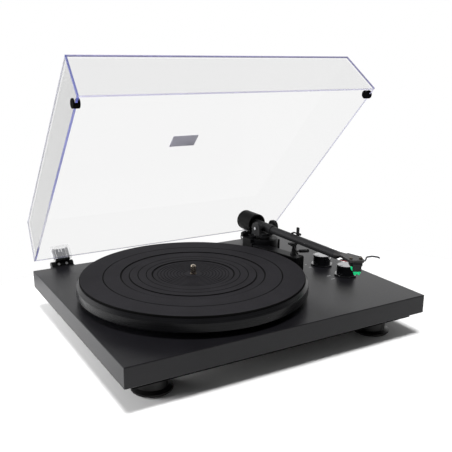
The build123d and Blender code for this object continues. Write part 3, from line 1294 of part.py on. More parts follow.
NODES = {
    "plinth": plinth,
    "bottom_cover": bottom_cover,
    "feet": feet,
    "foot_pads": foot_pads,
    "foot_screws": foot_screws,
    "case_screws": case_screws,
    "platter": platter,
    "platter_mat": platter_mat,
    "spindle": spindle,
    "bearing_housing": bearing_housing,
    "bearing_bush": bearing_bush,
    "thrust_ball": thrust_ball,
    "motor": motor,
    "motor_plate": motor_plate,
    "motor_pulley": motor_pulley,
    "motor_shaft": motor_shaft,
    "drive_belt": drive_belt,
    "power_knob": lambda: knob(POWER_KNOB_Y),
    "speed_knob": lambda: knob(SPEED_KNOB_Y),
    "knob_plates": knob_plates,
    "rotary_switches": rotary_switches,
    "jack_panel": jack_panel,
    "rca_sockets": rca_sockets,
    "dc_socket": dc_socket,
    "ground_post": ground_post,
    "ground_nut": ground_nut,
    "output_switch": output_switch,
    "circuit_board": circuit_board,
    "dust_cover": dust_cover,
    "lid_bumpers": lid_bumpers,
    "lid_label": lid_label,
    "hinge_bases": lambda: at_hinges(hinge_base()),
    "hinge_pins": lambda: at_hinges(hinge_pin()),
    "hinge_leaves": lambda: at_hinges(hinge_leaf()),
    "hinge_tongues": lambda: at_hinges(hinge_tongue()),
    "leaf_screws": lambda: at_hinges(leaf_screw(-LEAF_SCREW_X)) + at_hinges(leaf_screw(LEAF_SCREW_X)),
    "lid_brackets": lambda: at_hinges(lid_bracket()),
    "arm_base": arm_base,
    "yaw_bearing": yaw_bearing,
    "bias_post": bias_post,
    "bias_knob": bias_knob,
    "lift_housing": lift_housing,
    "lift_piston": lift_piston,
    "cue_lever": cue_lever,
    "arm_rest": arm_rest,
    "rest_clip": rest_clip,
    "arm_yoke": arm_yoke,
    "yoke_spindle": yoke_spindle,
    "pivot_screws": pivot_screws,
    "arm_sleeve": arm_sleeve,
    "arm_tube": arm_tube,
    "rear_stub": rear_stub,
    "weight_sleeve": weight_sleeve,
    "counterweight": counterweight,
    "headshell": headshell,
    "cartridge": cartridge,
    "stylus": stylus,
    "cantilever": cantilever,
    "cartridge_screws": cartridge_screws,
    "finger_lift": finger_lift,
}

for node, make in NODES.items():
    save(node, make())
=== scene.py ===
import math

import bmesh
import bpy
from mathutils import Matrix, Vector


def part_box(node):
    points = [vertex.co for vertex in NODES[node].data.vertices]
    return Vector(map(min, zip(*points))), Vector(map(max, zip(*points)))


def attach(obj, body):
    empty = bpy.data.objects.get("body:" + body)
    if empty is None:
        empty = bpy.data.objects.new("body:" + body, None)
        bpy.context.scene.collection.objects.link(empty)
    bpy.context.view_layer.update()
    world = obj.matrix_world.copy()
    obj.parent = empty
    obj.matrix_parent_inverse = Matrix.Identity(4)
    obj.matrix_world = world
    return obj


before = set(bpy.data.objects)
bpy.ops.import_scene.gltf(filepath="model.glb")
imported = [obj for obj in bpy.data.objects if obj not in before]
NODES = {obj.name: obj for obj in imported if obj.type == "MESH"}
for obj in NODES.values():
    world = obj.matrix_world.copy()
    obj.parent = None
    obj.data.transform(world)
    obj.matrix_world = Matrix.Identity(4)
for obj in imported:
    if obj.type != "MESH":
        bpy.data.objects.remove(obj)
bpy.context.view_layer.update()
MM = 0.001

# The deck frame of the CAD: origin in the middle of the plinth's top, in millimetres
PLINTH_LOW, PLINTH_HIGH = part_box("plinth")
DECK = Vector(((PLINTH_LOW[0] + PLINTH_HIGH[0]) / 2, (PLINTH_LOW[1] + PLINTH_HIGH[1]) / 2, PLINTH_HIGH[2]))


def deck(x, y, z):
    """A point of the deck frame, given in millimetres, in the row frame."""
    return DECK + Vector((x, y, z)) * MM


def middle(node):
    """The middle of a node's box."""
    low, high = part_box(node)
    return (Vector(low) + Vector(high)) / 2


def turned(x, y, degrees):
    """A point of a plan, turned round its origin."""
    a = math.radians(degrees)
    return x * math.cos(a) - y * math.sin(a), x * math.sin(a) + y * math.cos(a)


def new_object(name, data):
    """A new object, linked to the scene."""
    obj = bpy.data.objects.new(name, data)
    bpy.context.scene.collection.objects.link(obj)
    return obj


# Camera, at the photograph's place
CAMERA_AT = (-425.8, -734.8, 304.6)
CAMERA_AZ = -30.58
CAMERA_EL = 14.81
CAMERA_ROLL = 0.54
FOCAL_PX = 655.57
PHOTO_PX = 452
SENSOR = 36.0

camera_data = bpy.data.cameras.new("camera")
camera_data.sensor_fit = "HORIZONTAL"
camera_data.sensor_width = SENSOR
camera_data.lens = FOCAL_PX * SENSOR / PHOTO_PX
camera_data.clip_start = 0.01
camera_data.clip_end = 100.0
camera = new_object("camera", camera_data)
turn = Matrix.Rotation(math.radians(CAMERA_AZ), 4, "Z")
tilt = Matrix.Rotation(math.radians(90 - CAMERA_EL), 4, "X")
roll = Matrix.Rotation(math.radians(CAMERA_ROLL), 4, "Z")
camera.matrix_world = Matrix.Translation(deck(*CAMERA_AT)) @ turn @ tilt @ roll
bpy.context.scene.camera = camera

# Materials
NOISE_LOW = 0.3      # the part of a noise texture's range that is stretched out
NOISE_HIGH = 0.7
GRAIN_DETAIL = 2.0
GRAIN_ROUGH = 0.5
ROUGH_SPREAD = 0.14  # share by which the roughness rises and falls
COAT_ROUGH = 0.05
BANDED_ROUGH = 0.3


def shader_tree(name):
    """A new material with its node tree, its Principled shader and its object coordinates."""
    mat = bpy.data.materials.new(name)
    mat.use_nodes = True
    tree = mat.node_tree
    shader = next(n for n in tree.nodes if n.type == "BSDF_PRINCIPLED")
    place = tree.nodes.new("ShaderNodeTexCoord").outputs["Object"]
    return mat, tree, shader, place


def noise(tree, vector, scale, detail=3.0, rough=0.55):
    """A noise texture's value, with its scale in features per metre."""
    node = tree.nodes.new("ShaderNodeTexNoise")
    node.inputs["Scale"].default_value = scale
    node.inputs["Detail"].default_value = detail
    node.inputs["Roughness"].default_value = rough
    tree.links.new(vector, node.inputs["Vector"])
    return node.outputs["Fac"]


def mapped(tree, value, low, high):
    """A 0 to 1 value spread from low to high, with the middle of the noise stretched out."""
    node = tree.nodes.new("ShaderNodeMapRange")
    node.inputs["From Min"].default_value = NOISE_LOW
    node.inputs["From Max"].default_value = NOISE_HIGH
    node.inputs["To Min"].default_value = low
    node.inputs["To Max"].default_value = high
    tree.links.new(value, node.inputs["Value"])
    return node.outputs["Result"]


def tinted(tree, value, dark, light):
    """A colour between two by a value."""
    node = tree.nodes.new("ShaderNodeValToRGB")
    for element, position, colour in zip(node.color_ramp.elements, (NOISE_LOW, NOISE_HIGH), (dark, light)):
        element.position = position
        element.color = (*colour, 1.0)
    tree.links.new(value, node.inputs["Fac"])
    return node.outputs["Color"]


def bumped(tree, height, strength, depth):
    """A bump normal, with its depth in metres."""
    node = tree.nodes.new("ShaderNodeBump")
    node.inputs["Strength"].default_value = strength
    node.inputs["Distance"].default_value = depth
    tree.links.new(height, node.inputs["Height"])
    return node.outputs["Normal"]


def round_axis(tree, place, centre, axis):
    """Coordinates round an axis: the distance from it and the place along it, for turned marks."""
    shift = tree.nodes.new("ShaderNodeVectorMath")
    shift.operation = "SUBTRACT"
    shift.inputs[1].default_value = centre
    tree.links.new(place, shift.inputs[0])
    split = tree.nodes.new("ShaderNodeSeparateXYZ")
    tree.links.new(shift.outputs[0], split.inputs[0])
    flat = tree.nodes.new("ShaderNodeCombineXYZ")
    others = [n for n in "XYZ" if n != axis]
    tree.links.new(split.outputs[others[0]], flat.inputs["X"])
    tree.links.new(split.outputs[others[1]], flat.inputs["Y"])
    length = tree.nodes.new("ShaderNodeVectorMath")
    length.operation = "LENGTH"
    tree.links.new(flat.outputs[0], length.inputs[0])
    rings = tree.nodes.new("ShaderNodeCombineXYZ")
    tree.links.new(length.outputs["Value"], rings.inputs["X"])
    tree.links.new(split.outputs[axis], rings.inputs["Y"])
    return rings.outputs[0]


def finish(name, colour, rough, vary=0.15, metal=0.0, spec=0.5, grain=900.0, bump=0.15, depth=0.00005,
           cloud=25.0, coat=0.0, spun=None, alpha=1.0):
    """A procedural finish: cloudy colour, uneven roughness and a fine grain, spun round an axis or not."""
    mat, tree, shader, place = shader_tree(name)
    dark = tuple(c * (1 - vary) for c in colour)
    pale = tuple(min(1.0, c * (1 + vary)) for c in colour)
    smooth = rough * (1 - ROUGH_SPREAD)
    dull = min(1.0, rough * (1 + ROUGH_SPREAD))
    vector = place if spun is None else round_axis(tree, place, *spun)
    clouds = noise(tree, place, cloud)
    fine = noise(tree, vector, grain, GRAIN_DETAIL, GRAIN_ROUGH)
    tree.links.new(tinted(tree, clouds, dark, pale), shader.inputs["Base Color"])
    tree.links.new(mapped(tree, fine, smooth, dull), shader.inputs["Roughness"])
    if bump > 0:
        tree.links.new(bumped(tree, fine, bump, depth), shader.inputs["Normal"])
    shader.inputs["Metallic"].default_value = metal
    shader.inputs["Specular IOR Level"].default_value = spec
    shader.inputs["Coat Weight"].default_value = coat
    shader.inputs["Coat Roughness"].default_value = COAT_ROUGH
    shader.inputs["Alpha"].default_value = alpha
    return mat


def metal(name, colour, rough, vary, grain=2500, bump=0.05):
    """A finish of bare metal."""
    return finish(name, colour, rough, vary, metal=1.0, grain=grain, bump=bump)


def clear(name, alpha):
    """A finish of the cover's clear sheets; their alphas differ wall by wall as painted shade, the darker left
    wall standing in for the veil a wall shows at a slant.
    """
    return finish(name, (0.03, 0.03, 0.03), 0.02, 0.05, spec=0.3, grain=40, bump=0.0, alpha=alpha)


def edge(name, colour, alpha, vary=0.1, spec=0.3, cloud=9.0):
    """A finish of the clear sheets' edges: partly their own violet tint and partly a painted glint."""
    return finish(name, colour, 0.3, vary, spec=spec, grain=400, bump=0.05, cloud=cloud, alpha=alpha)


def banded(name, stops, low, high, alpha):
    """A finish whose colour changes along Z between two heights in metres."""
    mat, tree, shader, place = shader_tree(name)
    split = tree.nodes.new("ShaderNodeSeparateXYZ")
    tree.links.new(place, split.inputs[0])
    scale = tree.nodes.new("ShaderNodeMapRange")
    scale.inputs["From Min"].default_value = low
    scale.inputs["From Max"].default_value = high
    tree.links.new(split.outputs["Z"], scale.inputs["Value"])
    bands = tree.nodes.new("ShaderNodeValToRGB")
    elements = bands.color_ramp.elements
    while len(elements) < len(stops):
        elements.new(0.5)
    for element, (position, colour) in zip(elements, stops):
        element.position = position
        element.color = (*colour, 1.0)
    tree.links.new(scale.outputs["Result"], bands.inputs["Fac"])
    tree.links.new(bands.outputs["Color"], shader.inputs["Base Color"])
    shader.inputs["Roughness"].default_value = BANDED_ROUGH
    shader.inputs["Alpha"].default_value = alpha
    return mat


PLATTER_AXIS = (tuple(middle("platter")), "Z")
WEIGHT_AXIS = (tuple(middle("counterweight")), "Y")
PAINT_RGB = (0.0065, 0.0063, 0.0076)

# Paint, cast metal and rubber
PAINT = finish("plinth_paint", PAINT_RGB, 0.34, 0.10, spec=0.24, grain=1500, bump=0.18)
# The same paint with less sheen, for the plinth's left face only: painted shade that dims that face.
PAINT_LEFT_SHADED = finish("plinth_paint_left_shaded", PAINT_RGB, 0.34, 0.10, spec=0.13, grain=1500, bump=0.18)
# Blacker and duller than the other plastics: black plastic, pushed darker as painted shade for the bottom cover
# under the plinth; the lid's bumpers share it.
COVER_BLACK = finish("tray_black", (0.002, 0.002, 0.002), 0.8, spec=0.03, grain=1200, bump=0.3)
FOOT_BLACK = finish("foot_black", (0.005, 0.005, 0.005), 0.45, spec=0.3, grain=1200, bump=0.2)
RUBBER = finish("mat_rubber", (0.0128, 0.0122, 0.0142), 0.78, 0.12, spec=0.12, grain=1800, bump=0.35)
SOFT_RUBBER = finish("soft_rubber", (0.006, 0.006, 0.006), 0.55, 0.2, spec=0.25, grain=1500, bump=0.25)
CAST = finish("platter_black", (0.004, 0.004, 0.0045), 0.30, 0.12, spec=0.13, bump=0.12, spun=PLATTER_AXIS)
# Far darker rubber for the mat's channel walls and the thin rings beside them: painted shade in the grooves.
CHANNEL_SHADE = finish("mat_channel_painted_shade", (0.0025, 0.0025, 0.0025), 0.85, 0.10, spec=0.04, grain=1800, bump=0.2)
ARM_BLACK = finish("arm_satin", (0.012, 0.012, 0.013), 0.52, 0.12, spec=0.30, grain=1600, bump=0.12)
BASE_BLACK = finish("base_black", (0.0035, 0.0035, 0.004), 0.45, spec=0.16, grain=1400, bump=0.25)
WEIGHT_BLACK = finish("weight_satin", (0.002, 0.002, 0.0022), 0.48, 0.12, spec=0.09, grain=700, bump=0.12,
                      spun=WEIGHT_AXIS)
SHELL = finish("shell_anodised", (0.016, 0.015, 0.015), 0.42, 0.12, metal=0.1, spec=0.35, grain=1400)
TONGUE_GREY = finish("tongue_grey", (0.075, 0.09, 0.125), 0.5, 0.1, metal=0.1, grain=1500, bump=0.1)

# Plastic and print
PLASTIC = finish("moulded_black", (0.006, 0.006, 0.0065), 0.45, spec=0.28, grain=1400, bump=0.25)
GLOSS = finish("gloss_black", (0.004, 0.004, 0.005), 0.07, 0.2, spec=0.55, grain=300, bump=0.02, coat=0.5)
GREEN = finish("stylus_green", (0.0, 0.62, 0.22), 0.45, 0.06, spec=0.3, bump=0.05)
BOARD_GREEN = finish("board_green", (0.02, 0.16, 0.07), 0.45, 0.2, spec=0.45, grain=600, bump=0.1)
CAN_BLUE = finish("can_blue", (0.03, 0.06, 0.20), 0.35, 0.1, bump=0.05)
LABEL = finish("plate_grey", (0.60, 0.59, 0.68), 0.42, 0.05, spec=0.4, bump=0.1)
MARK = finish("printed_grey", (0.52, 0.52, 0.53), 0.6, 0.1, spec=0.3, grain=1500, bump=0.1)
WHITE_RING = finish("ring_white", (0.75, 0.75, 0.74), 0.4, 0.05, spec=0.4, bump=0.1)
RED_RING = finish("ring_red", (0.55, 0.02, 0.02), 0.4, 0.08, spec=0.4, bump=0.1)

# Bare metal
STEEL = metal("bright_steel", (0.70, 0.70, 0.72), 0.22, 0.06)
DARK_STEEL = metal("dark_steel", (0.10, 0.10, 0.11), 0.35, 0.15, 2000, 0.1)
WARM_STEEL = metal("warm_steel", (0.60, 0.52, 0.42), 0.26, 0.06)
ZINC = metal("zinc_plate", (0.55, 0.56, 0.58), 0.38, 0.1, 500, 0.1)
BRASS = metal("brass", (0.62, 0.45, 0.22), 0.3, 0.08, bump=0.08)
DULL_BRASS = metal("dull_brass", (0.20, 0.165, 0.13), 0.42, 0.1, bump=0.08)
GILT = metal("gilt_socket", (0.75, 0.56, 0.25), 0.22, 0.06)
BRONZE = metal("bronze", (0.45, 0.28, 0.14), 0.42, 0.15, 1500, 0.15)

# The clear cover
# Copies of one clear sheet that differ only in alpha: the left wall's much higher alpha is painted shade, a
# darker veil where that wall is seen at a slant.
PANE = clear("clear_top", 0.045)
PANE_LEFT_SHADED = clear("clear_left_painted_shade", 0.20)
PANE_FAR = clear("clear_far_side", 0.05)
PANE_FRONT = clear("clear_front", 0.05)
EDGE = edge("edge_deep", (0.15, 0.165, 0.40), 0.85, vary=0.12, cloud=14)
EDGE_THIN = edge("edge_thin", (0.26, 0.25, 0.44), 0.8, vary=0.2)
EDGE_PALE = edge("edge_pale", (0.42, 0.42, 0.50), 0.4)
EDGE_LIGHT = edge("edge_light", (0.50, 0.48, 0.74), 0.6)
EDGE_GREY = edge("edge_grey", (0.10, 0.10, 0.11), 0.8, spec=0.4, cloud=25)
CLEAR_BLOCK = finish("clear_bracket", (0.70, 0.70, 0.72), 0.12, 0.05, spec=0.6, grain=300, bump=0.0, alpha=0.16)

FINISHES = {
    "plinth": PAINT,
    "bottom_cover": COVER_BLACK,
    "feet": FOOT_BLACK,
    "foot_pads": SOFT_RUBBER,
    "foot_screws": STEEL,
    "case_screws": DARK_STEEL,
    "platter": CAST,
    "platter_mat": RUBBER,
    "spindle": WARM_STEEL,
    "bearing_housing": DARK_STEEL,
    "bearing_bush": BRONZE,
    "thrust_ball": STEEL,
    "motor": ZINC,
    "motor_plate": ZINC,
    "motor_pulley": BRASS,
    "motor_shaft": STEEL,
    "drive_belt": SOFT_RUBBER,
    "power_knob": GLOSS,
    "speed_knob": GLOSS,
    "knob_plates": GLOSS,
    "rotary_switches": PLASTIC,
    "jack_panel": PLASTIC,
    "rca_sockets": GILT,
    "dc_socket": PLASTIC,
    "ground_post": BRASS,
    "ground_nut": GILT,
    "output_switch": PLASTIC,
    "circuit_board": BOARD_GREEN,
    "dust_cover": PANE,
    "lid_bumpers": COVER_BLACK,
    "lid_label": LABEL,
    "hinge_bases": PLASTIC,
    "hinge_pins": STEEL,
    "hinge_leaves": PLASTIC,
    "hinge_tongues": TONGUE_GREY,
    "leaf_screws": STEEL,
    "lid_brackets": CLEAR_BLOCK,
    "arm_base": BASE_BLACK,
    "yaw_bearing": DARK_STEEL,
    "bias_post": BASE_BLACK,
    "bias_knob": BASE_BLACK,
    "lift_housing": PLASTIC,
    "lift_piston": PLASTIC,
    "cue_lever": PLASTIC,
    "arm_rest": PLASTIC,
    "rest_clip": PLASTIC,
    "arm_yoke": ARM_BLACK,
    "yoke_spindle": STEEL,
    "pivot_screws": STEEL,
    "arm_sleeve": ARM_BLACK,
    "arm_tube": ARM_BLACK,
    "rear_stub": ARM_BLACK,
    "weight_sleeve": PLASTIC,
    "counterweight": WEIGHT_BLACK,
    "headshell": SHELL,
    "cartridge": PLASTIC,
    "stylus": GREEN,
    "cantilever": DARK_STEEL,
    "cartridge_screws": DULL_BRASS,
    "finger_lift": DARK_STEEL,
}

# Edge roundings in millimetres, where the plain one doesn't suit the piece
PLAIN_ROUNDING = 0.2
ROUNDINGS = {
    "plinth": 0.25,
    "platter": 0.5,
    "platter_mat": 0.12,
    "knob_plates": 0.3,
    "dust_cover": 0.45,
    "lid_brackets": 0.5,
    "case_screws": 0.06,
    "leaf_screws": 0.08,
    "pivot_screws": 0.08,
    "cartridge_screws": 0.08,
    "finger_lift": 0.05,
    "cantilever": 0.02,
    "lid_label": 0.06,
    "stylus": 0.25,
    "counterweight": 0.3,
}
WELD_GAP = 0.01
BEVEL_ANGLE = 32
NORMAL_WEIGHT = 80


def shade(mesh, smooth=True):
    """Shades all faces of a mesh smooth or flat."""
    mesh.polygons.foreach_set("use_smooth", [smooth] * len(mesh.polygons))


def soften(obj, width, edge_material=None):
    """Rounds a piece's edges with modifiers, so that they catch the light."""
    bevel = obj.modifiers.new("bevel", "BEVEL")
    bevel.width = width * MM
    bevel.segments = 2
    bevel.limit_method = "ANGLE"
    bevel.angle_limit = math.radians(BEVEL_ANGLE)
    if edge_material is not None:
        bevel.material = edge_material
    normals = obj.modifiers.new("normals", "WEIGHTED_NORMAL")
    normals.weight = NORMAL_WEIGHT


def paint_faces(node, mat, chosen):
    """Gives the faces of a node that a test picks, by centre and normal, another finish."""
    mesh = NODES[node].data
    mesh.materials.append(mat)
    index = len(mesh.materials) - 1
    for face in mesh.polygons:
        if chosen(face.center, face.normal):
            face.material_index = index


for node, mat in FINISHES.items():
    obj = NODES[node]
    mesh = obj.data
    mesh.materials.clear()
    mesh.materials.append(mat)
    if "custom_normal" in mesh.attributes:
        mesh.attributes.remove(mesh.attributes["custom_normal"])
    shade(mesh)
    weld = obj.modifiers.new("weld", "WELD")
    weld.merge_threshold = WELD_GAP * MM
    if node == "lid_brackets":
        # The clear brackets' rounded edges take a grey as painted shade, for the dark outlines clear plastic
        # shows.
        mesh.materials.append(EDGE_GREY)
        soften(obj, ROUNDINGS[node], edge_material=1)
    else:
        soften(obj, ROUNDINGS.get(node, PLAIN_ROUNDING))


# Building helpers
LETTER_SIZE = 1.4    # a font's size for letters one unit high
WIRE_ROUNDS = 3


def add_piece(name, mesh, mat, body, at=None):
    """Links a mesh as a piece that rides on a body, at a point where one is given."""
    obj = new_object(name, mesh)
    mesh.materials.append(mat)
    if at is not None:
        obj.location = at
        bpy.context.view_layer.update()
    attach(obj, body)
    return obj


def mesh_from(name, points, faces, smooth=True):
    """A mesh from row-frame points and faces."""
    mesh = bpy.data.meshes.new(name)
    mesh.from_pydata([tuple(p) for p in points], [], faces)
    mesh.update()
    shade(mesh, smooth)
    return mesh


def lathe(name, profile, centre, steps):
    """A mesh turned round an upright axis from (radius, height) pairs in millimetres."""
    points, faces = [], []
    count = len(profile)
    for i in range(steps):
        a = 2 * math.pi * i / steps
        for radius, height in profile:
            points.append(centre + Vector((radius * math.cos(a), radius * math.sin(a), height)) * MM)
    for i in range(steps):
        j = (i + 1) % steps
        for k in range(count - 1):
            faces.append((i * count + k, j * count + k, j * count + k + 1, i * count + k + 1))
    mesh = mesh_from(name, points, faces)
    work = bmesh.new()
    work.from_mesh(mesh)
    bmesh.ops.remove_doubles(work, verts=work.verts, dist=1e-6)
    bmesh.ops.recalc_face_normals(work, faces=work.faces)
    work.to_mesh(mesh)
    work.free()
    return mesh


def meshed(name, curve):
    """The mesh of a curve or a text, which is then deleted."""
    holder = new_object(name + "_line", curve)
    bpy.context.view_layer.update()
    mesh = bpy.data.meshes.new_from_object(holder)
    mesh.name = name
    bpy.data.objects.remove(holder)
    bpy.data.curves.remove(curve)
    return mesh


def wire_mesh(name, points, radius):
    """A round wire through row-frame points, smoothed, as a mesh."""
    curve = bpy.data.curves.new(name + "_line", "CURVE")
    curve.dimensions = "3D"
    spline = curve.splines.new("NURBS")
    spline.points.add(len(points) - 1)
    for spot, point in zip(spline.points, points):
        spot.co = (*point, 1.0)
    spline.order_u = 3
    spline.use_endpoint_u = True
    spline.resolution_u = 6
    curve.bevel_depth = radius * MM
    curve.bevel_resolution = WIRE_ROUNDS
    curve.use_fill_caps = True
    mesh = meshed(name, curve)
    shade(mesh)
    return mesh


def words_mesh(name, text, height, thick):
    """Flat raised characters, centred, in millimetres high and thick."""
    curve = bpy.data.curves.new(name, "FONT")
    curve.body = text
    curve.size = height * MM * LETTER_SIZE
    curve.extrude = thick * MM / 2
    curve.align_x = "CENTER"
    curve.align_y = "CENTER"
    return meshed(name, curve)


# Dust cover: the coloured lines where its glued sheets end, partly the sheets' own edge tint and partly painted
# glint, deeper or paler corner by corner
LID_PIVOT = (182.7, -1.1)
LID_OPEN = 46.9
LID_REAR = 167.0
LID_SIZE = (414.4, 338.5, 67.0)
LID_RIM = 2.5
LID_INSET = (5.5, 6.4, 1.4)
SEAM_SKIN = 0.12     # how far the seams lie inside the walls
SEAM_TOP = LID_RIM + LID_SIZE[2] - SEAM_SKIN
THICK_SEAM = 2.1
THIN_SEAM = 1.6


def opened(point):
    """A point of the closed cover, where it is with the cover open."""
    x, y, z = point
    dy, dz = turned(y - LID_PIVOT[0], z - LID_PIVOT[1], -LID_OPEN)
    return deck(x, LID_PIVOT[0] + dy, LID_PIVOT[1] + dz)


def closed(vector):
    """A direction or offset on the open cover as it is with the cover closed."""
    return Vector((vector.x, *turned(vector.y, vector.z, LID_OPEN)))


def cover_corner(side, end, level, inward=0.0):
    """A corner of the closed cover: side -1 or 1, end 0 front or 1 rear, level 0 rim or 1 top."""
    width, depth, height = LID_SIZE
    inset_side, inset_front, inset_rear = LID_INSET
    x = side * (width / 2 - inset_side * level - inward)
    front = LID_REAR - depth + inset_front * level + inward
    rear = LID_REAR - inset_rear * level - inward
    return x, (rear if end else front), LID_RIM + height * level


def cover_seam(name, ends, sides, mat):
    """A four-sided bar just inside the walls, between two corners and as wide as two offsets."""
    points = []
    for end in ends:
        for a, b in ((0, 0), (1, 0), (1, 1), (0, 1)):
            points.append(opened([p + a * q + b * r for p, q, r in zip(end, *sides)]))
    faces = [(i, (i + 1) % 4, 4 + (i + 1) % 4, 4 + i) for i in range(4)]
    faces += [(3, 2, 1, 0), (4, 5, 6, 7)]
    return add_piece(name, mesh_from(name, points, faces, False), mat, "lid")


def corner_seam(name, side, end, width, mat):
    """The seam up a corner of the cover."""
    inward = -1 if end else 1
    sides = ((-side * width, 0, 0), (0, inward * width, 0))
    spots = []
    for level, z in ((0, LID_RIM + SEAM_SKIN), (1, SEAM_TOP)):
        x, y = cover_corner(side, end, level)[:2]
        spots.append((x - side * SEAM_SKIN, y + inward * SEAM_SKIN, z))
    return cover_seam(name, spots, sides, mat)


def side_seam(name, side, width, mat):
    """The seam along one side of the top plate."""
    sides = ((-side * width, 0, 0), (0, 0, -width))
    spots = [(*cover_corner(side, end, 1, SEAM_SKIN)[:2], SEAM_TOP) for end in (0, 1)]
    return cover_seam(name, spots, sides, mat)


def front_seam(name, width, mat):
    """The seam along the front of the top plate."""
    sides = ((0, width, 0), (0, 0, -width))
    spots = [(*cover_corner(side, 0, 1, SEAM_SKIN)[:2], SEAM_TOP) for side in (-1, 1)]
    return cover_seam(name, spots, sides, mat)


corner_seam("seam_front_left", -1, 0, THICK_SEAM, EDGE)
corner_seam("seam_front_right", 1, 0, THIN_SEAM, EDGE_THIN)
corner_seam("seam_rear_left", -1, 1, THIN_SEAM, EDGE_PALE)
side_seam("seam_top_left", -1, THIN_SEAM, EDGE_PALE)
front_seam("seam_top_front", THIN_SEAM, EDGE_THIN)

# Faces of the plinth and the cover with a finish of their own, most of them painted light: the plinth's left
# side and the cover's left wall carry painted shade, the rims' tints are partly painted glint, and the left rim
# holds a painted reflection
FACING = 0.9
RIM_DEPTH = 0.5
LEFT_OF = -200.0
RIM_START = opened((0, 0, LID_RIM))
# Colour up the left wall's rim: the violet edge tint, with a pale band from 0.125 to 0.36 that is a painted
# reflection.
LEFT_RIM_STOPS = (
    (0.0, (0.05, 0.05, 0.28)),
    (0.10, (0.07, 0.07, 0.36)),
    (0.125, (0.74, 0.74, 0.82)),
    (0.36, (0.66, 0.66, 0.80)),
    (0.50, (0.22, 0.24, 0.60)),
    (1.0, (0.15, 0.17, 0.58)),
)
LEFT_RIM = banded("edge_left", LEFT_RIM_STOPS, opened((0, LID_REAR, LID_RIM)).z,
                  opened((0, LID_REAR - LID_SIZE[1], LID_RIM)).z, 0.8)


def on_rim(centre, normal):
    """True for the cover's faces that close its walls at the open side."""
    return closed(normal).z < -FACING and closed(centre - RIM_START).z < RIM_DEPTH * MM


def on_left_rim(centre, normal):
    """True for the rim faces of the left wall."""
    return on_rim(centre, normal) and closed(centre - RIM_START).x < LEFT_OF * MM


def on_wall(side):
    """A test for the faces of the left wall, -1, or the right wall, 1."""
    return lambda centre, normal: abs(normal.x) > FACING and side * (centre.x - DECK.x) > 0


# The plinth's left face takes the duller copy of its paint, as painted shade.
paint_faces("plinth", PAINT_LEFT_SHADED, lambda centre, normal: normal.x < -FACING)
# The cover's walls take their copies of the clear sheet; the left wall's copy is the painted shade.
paint_faces("dust_cover", PANE_LEFT_SHADED, on_wall(-1))
paint_faces("dust_cover", PANE_FAR, on_wall(1))
paint_faces("dust_cover", PANE_FRONT, lambda centre, normal: abs(closed(normal).y) > FACING)
# The rims take a pale violet, partly the sheets' edge tint and partly painted glint; the left rim's bands add a
# painted reflection.
paint_faces("dust_cover", EDGE_LIGHT, on_rim)
paint_faces("dust_cover", LEFT_RIM, on_left_rim)

# Brackets: the ribs beside each tongue get a grey, like the rounded edges, as painted shade standing in for the
# dark lines that clear plastic shows at its edges and ribs
BRACKET_AT = 165.0
BRACKET_MIDDLE = 12.0


def on_rib(centre, normal):
    """True for the upright faces in a bracket's middle."""
    across = abs(centre.x - DECK.x) / MM
    return abs(normal.x) > FACING and abs(across - BRACKET_AT) < BRACKET_MIDDLE


paint_faces("lid_brackets", EDGE_GREY, on_rib)

# Phono sockets: a white and a red collar round the gilt
SOCKET_XS = (64.0, 80.0)
SOCKET_Z = -12.2
COLLAR_INNER = 4.4
COLLAR_OUTER = 6.0


def on_collar(x):
    """A test for the faces of one socket's collar, from its place across the deck in millimetres."""
    def chosen(centre, normal):
        spot = (centre - DECK) / MM
        return COLLAR_INNER < math.hypot(spot.x - x, spot.z - SOCKET_Z) < COLLAR_OUTER
    return chosen


for x, mat in zip(SOCKET_XS, (WHITE_RING, RED_RING)):
    paint_faces("rca_sockets", mat, on_collar(x))

# Platter mat: painted shade on the channel walls, and thin dark rings of painted shadow beside them, as (inner,
# outer, depth)
MAT_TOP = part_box("platter_mat")[1][2]
MAT_CENTRE = Vector((*PLATTER_AXIS[0][:2], MAT_TOP))
MAT_FACING = 0.95
MAT_SKIN = 0.1
MAT_LOW = 0.7
LINE_LIFT = 0.03
LINE_STEPS = 180
MAT_SHADE_RINGS = (
    (115.4, 117.0, 0.0),
    (92.6, 94.1, MAT_LOW),
    (82.3, 83.5, MAT_LOW),
    (71.2, 72.4, 0.0),
    (60.6, 61.7, 0.0),
    (52.2, 53.7, MAT_LOW),
)


def in_channel(centre, normal):
    """True for the walls of the mat's channels."""
    return centre.z < MAT_TOP - MAT_SKIN * MM and normal.z < MAT_FACING


# The channel walls take the darker rubber, as painted shade.
paint_faces("platter_mat", CHANNEL_SHADE, in_channel)
# Thin dark rings laid in the channels beside their walls, as painted shadow lines.
for number, (inner, outer, depth) in enumerate(MAT_SHADE_RINGS):
    name = "mat_line_%d" % number
    top = LINE_LIFT - depth
    bottom = top - LINE_LIFT / 2
    ring = [(inner, bottom), (inner, top), (outer, top), (outer, bottom), (inner, bottom)]
    add_piece(name, lathe(name, ring, MAT_CENTRE, LINE_STEPS), CHANNEL_SHADE, "platter_unit")

# Headshell leads: four thin wires from the tube's end to the cartridge's pins
ARM_PIVOT = (121.5, 73.5, 46.0)
ARM_YAW = 1.2
CART_AT = (-0.7, -203.5, 2.2)
CART_OFFSET = 31.0
LEAD_PINS = ((-3.4, -3.8), (3.4, -3.8), (-3.4, -7.2), (3.4, -7.2))
LEAD_COLOURS = (PLASTIC, WHITE_RING, RED_RING, CAN_BLUE)
LEAD_BACK = 14.5
LEAD_R = 0.55
LEAD_CLIP_R = 0.935
LEAD_CLIP_L = 4.5
LEAD_BEND = (0.7, 9.0, 2.2)          # where it sags: share of the pin's x, how far back, how far down
LEAD_MOUTH = (0.35, -174.0, 0.15)    # in the tube's mouth: share of the pin's x, y, share of the pin's z
MOUTH_Z = -3.6


